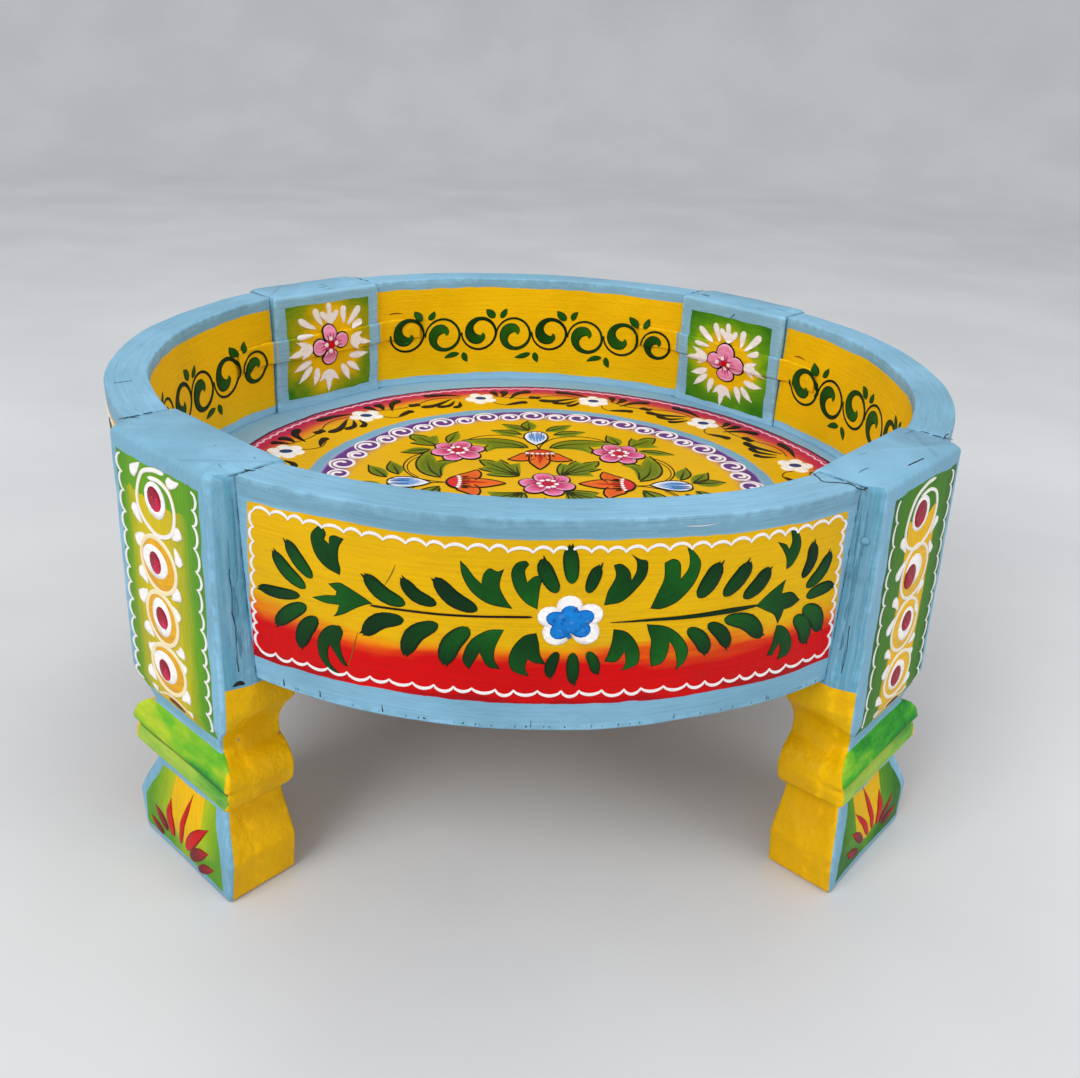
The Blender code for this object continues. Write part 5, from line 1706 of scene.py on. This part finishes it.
def board_sheet(seed):
    """The board's rings of scallops, daisies and curls, and the bouquet in its middle."""
    sheet = Sheet(seed)
    middle = np.array(PAINTING_MIDDLE)

    def around(radius, degrees):
        return middle + radius * heading(math.radians(degrees))

    for k in range(150):
        path = []
        for f in np.linspace(-0.05, 1.05, 6):
            bulge = 2.2 * math.sin(math.pi * min(1, max(0, f)))
            path.append(around(246.6 + bulge + sheet.nudge(0.3), 2.4 * (k + f)))
        sheet.stroke(path, 1.0, mixed(244, 196, 212), "even", border=PALE_PINK, layer=1, curved=False)
    for k in range(12):
        turn = 105.0 - 30 * k + sheet.nudge(1.2)
        x, y = around(BAND_RADIUS + sheet.nudge(2), turn)
        start = turn + sheet.nudge(25)
        petal_ring(sheet, x, y, 5 + (k % 3 == 1), 2.0, 15.6, 6.6, WHITE, CREAM, 3, start=start)
        sheet.dot(x, y, 6, WHITE, layer=3)
        sheet.dot(x, y, 5.4, mixed(30, 58, 112), layer=5, border=mixed(110, 130, 168), tall=0.85)

        def along(a, out):
            return around(BAND_RADIUS + out, turn - math.degrees((a + sheet.nudge(0.8)) / BAND_RADIUS))
        for path, half_width in BAND_COMMAS:
            path = [along(*spot) for spot in path]
            sheet.stroke(path, half_width * 1.5, BROWN, "comma", border=INK, layer=2)
        for path in BAND_STEMS:
            sheet.stroke([along(*spot) for spot in path], 0.55, STEM_BROWN, "line", layer=1)
    for k in range(48):
        turn = 92.0 - 7.5 * k
        reach = (9.8, 7.8)[k % 2] + sheet.nudge(0.4)
        x, y = around((166.5, 163.0)[k % 2], turn)
        sheet.dot(x, y, reach, PURPLE, layer=1, border=PURPLE)
        path, widths = [], []
        for f in np.linspace(0, 1, 30):
            angle = math.radians(turn + 110 - 610 * f)
            far = reach * np.interp(f, (0, 0.12, 0.55, 0.8, 1.0), (1.35, 1.0, 0.95, 0.5, 0.2))
            path.append((x + far * math.cos(angle), y + far * math.sin(angle)))
            widths.append(np.interp(f, (0, 0.15, 0.55, 0.8, 1.0), (0.4, 1.2, 1.4, 1.7, 1.9)))
        sheet.stroke(path, widths, WHITE, "even", border=LILAC, layer=3, curved=False)
    place = (5.0, -6.0)
    for turn in (0, -90, -180, -270):
        sprig(sheet, place, turn, mixed(214, 40, 48) if turn % 180 else mixed(206, 62, 22))
    sheet.at()
    pink_flower(sheet, 9, -8, 45)
    return sheet


# Cracks in the table's top, seen from above, and their half widths
TOP_CRACKS = (
    (((145.5, -231.5), (148, -243), (161.5, -245), (165.5, -253.5), (170.5, -249)), 0.8),
    (((206, -216.5), (212, -211), (220, -204)), 0.75), (((245, -170), (249, -164), (253, -158.5)), 0.5),
    (((-247.5, -165.5), (-244, -166), (-240, -167.5)), 0.4),
    (((-274.5, -104.5), (-270, -102), (-266, -99.5)), 0.5), (((174, 136), (178, 144), (181, 152)), 0.6),
    (((-165, -241), (-162, -242), (-158, -243)), 0.6),
)


def crack_sheet(seed):
    """Checks and open seams in the tops of the rim and posts."""
    sheet = Sheet(seed)
    for path, half_width in TOP_CRACKS:
        knots = smooth(path, False, 4)
        path = [sheet.near(spot, 0.5) for spot in knots]
        widths = [half_width * sheet.draw(0.35, 1.1) for _ in path]
        sheet.stroke(path, widths, CRACK, "even", curved=False)
    for degrees in LEG_ANGLES.values():
        sheet.at(angle=degrees)
        for hand in (-1, 1):
            for start in (277, 285, 292):
                line = hand * SEAM_HALF / MM
                ends = [(u, line + sheet.nudge(0.4)) for u in (start, start + 6)]
                path = bent(*ends, sheet.nudge(0.3))
                sheet.stroke(path, sheet.draw(0.25, 0.5), between(CRACK, SKY_DEEP, 0.25))
        for _ in range(4):
            u, v = 268 + 28 * sheet.chance.random(), sheet.nudge(46)
            path = bent((u, v), (u + sheet.nudge(2), v + 4 + 8 * sheet.chance.random()), sheet.nudge(0.8))
            sheet.stroke(path, 0.25, between(CRACK, SKY_DEEP, 0.4))
    return sheet


def flank_sheet(seed, dowel):
    """A fine crack down a post's flank, dark runs by the rim that are dirt and painted seam shade, and a
    dowel's end or a gap under the rim, with painted shadows.
    """
    sheet = Sheet(seed)
    high = 196 if dowel else 228
    path = [(5 + sheet.nudge(0.5), z + sheet.nudge(1)) for z in range(162, high, 4)]
    widths = [sheet.draw(0.1, 0.34) for _ in path]
    sheet.stroke(path, widths, CRACK, "even", curved=False)
    # dark runs beside the rim: partly dirt, partly painted shade of the seam
    for _ in range(14):
        s, low = sheet.draw(0.8, 5.0), sheet.draw(158, 245)
        path = bent((s, low), (s + sheet.nudge(0.4), low + sheet.draw(10, 28)), sheet.nudge(0.5))
        shade = between(SKY_DEEP, CRACK, sheet.draw(0.05, 0.22))
        sheet.stroke(path, sheet.draw(0.25, 0.7), shade, border=shade)
    if dowel:
        # a raised dot in a darker ring, widest below it: painted shade under the dowel's end
        sheet.dot(5.5, 247.5, 2.9, SKY_DEEP, border=between(SKY_DEEP, CRACK, 0.3))
        sheet.dot(5.5, 248, 2.3, SKY, layer=4, border=SKY_DEEP)
    else:
        # a painted shadow of the gap under the rim
        sheet.stroke([(2.5, 153), (5.5, 154.5), (9, 153)], 1.5, CRACK, layer=1)
    return sheet


def studio():
    """A pale floor that curves up into a low wall all round, soft lamps, and the camera."""
    flat, bow = 3.4, 1.1
    profile = [(radius, -0.0005) for radius in (0.02, 0.5, 1.2, 2.0, 2.8, flat)]
    for degrees in range(8, 81, 8):
        angle = math.radians(degrees)
        profile.append((flat + bow * math.sin(angle), bow - bow * math.cos(angle)))
    around = 72
    spots = []
    for radius, z in profile:
        spots += [(radius * math.cos(math.tau * k / around), radius * math.sin(math.tau * k / around), z)
                  for k in range(around)]
    faces = [tuple(range(around))]
    for level in range(len(profile) - 1):
        for k in range(around):
            low, high, after = level * around, (level + 1) * around, (k + 1) % around
            faces.append((low + k, high + k, high + after, low + after))
    mesh = bpy.data.meshes.new("floor")
    mesh.from_pydata(spots, [], faces)
    mesh.polygons.foreach_set("use_smooth", [True] * len(faces))
    mesh.materials.append(floor_paint())
    floor = new_object("floor", mesh)
    world = bpy.data.worlds.new("soft_sky")
    world.use_nodes = True
    sky = Nodes(world.node_tree)
    light = world.node_tree.nodes["Background"]
    light.inputs["Color"].default_value = (0.95, 0.97, 1.0, 1.0)
    light.inputs["Strength"].default_value = 0.70
    seen = sky.add("ShaderNodeBackground", {"Color": mixed(179, 182, 186)})
    rays = sky.add("ShaderNodeLightPath", {}).node.outputs
    straight = sky.math("MAXIMUM", rays["Is Camera Ray"], rays["Is Transmission Ray"])
    straight = sky.math("MAXIMUM", straight, rays["Is Glossy Ray"])
    both = sky.add("ShaderNodeMixShader", {0: straight, 1: light.outputs[0], 2: seen})
    world.node_tree.links.new(both, world.node_tree.nodes["World Output"].inputs["Surface"])
    bpy.context.scene.world = world
    aim = Vector((0.0, 0.0, 0.15))
    lamps = (("key", (-1.4, -1.6, 1.9), 1.6, 37.0), ("fill", (1.9, -1.4, 1.4), 1.6, 15.0))
    for name, spot, size, power in (*lamps, ("top", (0.2, 0.6, 2.4), 1.8, 9.0)):
        lamp = bpy.data.lights.new(name, "AREA")
        lamp.shape = "DISK"
        lamp.size = size
        lamp.energy = power
        holder = new_object(name, lamp)
        holder.location = spot
        holder.rotation_euler = (aim - Vector(spot)).to_track_quat("-Z", "Y").to_euler()
    camera = bpy.data.cameras.new("camera")
    camera.sensor_width = 36.0
    camera.lens = 34.63
    camera.shift_x = -0.0444
    camera.shift_y = -0.0648
    holder = new_object("camera", camera)
    right, up, ahead = (0.9955, -0.0774, 0.0550), (-0.0221, 0.3748, 0.9269), (0.0923, 0.9239, -0.3714)
    turn = Matrix((right, up, tuple(-k for k in ahead))).transposed().to_4x4()
    holder.matrix_world = Matrix.Translation((-0.0348, -0.7588, 0.4919)) @ turn
    bpy.context.scene.camera = holder
    bpy.context.scene.view_settings.view_transform = "Standard"


BLUE, FLANK, GOLD = top_paint(), flank_paint(), yellow_paint()
RIM_PAINTS = {"blue": BLUE, "outside": rim_outside_paint(), "inside": rim_inside_paint()}
OVAL_STOPS = ((0.44, POST_GOLD), (0.53, LIME), (0.72, GRASS), (0.98, POST_GREEN))
WIDE_STOPS = ((0.38, POST_GOLD), (0.52, mixed(176, 164, 10)), (0.68, mixed(122, 148, 18)), (0.84, POST_GREEN))
POST_PAINTS = (
    post_inside_paint("post_inside_paint", 0.0, 33, 26, OVAL_STOPS),
    post_inside_paint("post_inside_bright", 5.0, 36, 38, WIDE_STOPS),
)
PANELS = {key: leg_panel_paint("leg_panel_" + key, style) for key, style in LEG_STYLES.items()}
# the deep bead's darker greens are partly painted shade
BEADS = {
    "light": bead_paint("bead_light", mixed(64, 62, 14), (
        (0.34, mixed(172, 194, 44)), (0.52, mixed(108, 178, 38)), (0.70, mixed(16, 136, 52)),
    )),
    "deep": bead_paint("bead_deep", mixed(190, 156, 34), (
        (0.26, mixed(150, 196, 40)), (0.40, mixed(66, 170, 36)), (0.60, mixed(14, 128, 40)),
    )),
}
# the deep foot's darker greens are partly painted shade
FEET = {
    "light": foot_paint("foot_light", -1, (
        (0.40, YELLOW), (0.42, mixed(178, 184, 18)), (0.62, mixed(146, 176, 24)), (1.0, mixed(92, 150, 26)),
    )),
    "deep": foot_paint("foot_deep", 1, (
        (0.44, YELLOW), (0.47, mixed(92, 146, 26)), (0.70, mixed(78, 136, 26)), (1.0, mixed(48, 110, 26)),
    )),
}
FOOT_SHIFTS = {"light": 3.5, "deep": -3.5}
BRUSH_PAINT = brush_paint()
STROKES, TIP = stroke_tree(), tip_object()

for order, (place, angle) in enumerate(LEG_ANGLES.items()):
    style = "light" if order % 2 == 0 else "deep"
    drift = 0.0 if order < 2 else 1.0
    post = POST_PAINTS[order % 2]
    paints = {"blue": BLUE, "flank": FLANK, "yellow": GOLD, "panel": PANELS[style], "post": post}
    build_leg(place, paints | {"bead": BEADS[style], "foot": FEET[style]})
    build_strap(place, {"blue": BLUE, "post": post, "inside": RIM_PAINTS["inside"]})
    on_outside = on_leg_outside(angle)
    ovals = leg_sheet(11 + order, LEG_STYLES[style], drift)
    lay_sheet("brushwork_leg_" + place, ovals, on_outside, "leg_paint")
    petals = foot_sheet(21 + order, FOOT_PETALS[style], FOOT_SHIFTS[style])
    lay_sheet("brushwork_foot_" + place, petals, on_outside, "leg_paint")
    bloom = (-1.0, 223.5, POST_PETALS, np.array((0, -0.5)), 0.6)
    if order % 2:
        bloom = (0.5, 229.0, ROUND_PETALS, np.array((-0.5, 2)), 1.4)
    bloom = post_sheet(31 + order, *bloom)
    lay_sheet("brushwork_post_" + place, bloom, on_post_inside(angle), "leg_paint", fineness=2)
    for hand in (1, -1):
        marks = flank_sheet(80 + 2 * order + (hand > 0), hand < 0)
        lay_sheet(f"flank_cracks_{place}_{1 if hand > 0 else 2}", marks, on_flank(angle, hand), "leg_paint")
for order, (place, angle) in enumerate(RIM_ANGLES.items()):
    build_rim(place, RIM_PAINTS)
    sheet = rim_outside_sheet(41 + order, order % 2 == 1, 0.0 if order == 0 else 1.2)
    lay_sheet(f"brushwork_rim_{place}_outside", sheet, on_rim_outside(angle), "rim_paint")
    lay_blots(f"brushwork_rim_{place}_forked_leaves", sheet, on_rim_outside(angle), "rim_paint")
    vine = rim_inside_sheet(51 + order, 0.8)
    lay_sheet(f"brushwork_rim_{place}_inside", vine, on_rim_inside(angle), "rim_paint")
build_board(board_paint())
painting = board_sheet(61)
on_board = on_level(BOARD_TOP + BOARD_COAT)
lay_patches("brushwork_board_leaves", painting, on_board, "board_paint")
lay_sheet("brushwork_board", painting, on_board, "board_paint")
lay_sheet("top_checks", crack_sheet(71), on_level(TABLE_HEIGHT), "leg_paint")
bpy.data.objects.remove(TIP)

PLANK_WOOD, BATTEN_WOOD = bare_wood_paint("bare_wood", 0), bare_wood_paint("batten_wood", 1)
IRON = iron_paint()
for node_name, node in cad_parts.items():
    wood = BATTEN_WOOD if node_name.startswith("batten") else PLANK_WOOD
    node.data.materials.clear()
    node.data.materials.append(IRON if "nail" in node_name else wood)

studio()
bpy.context.view_layer.update()
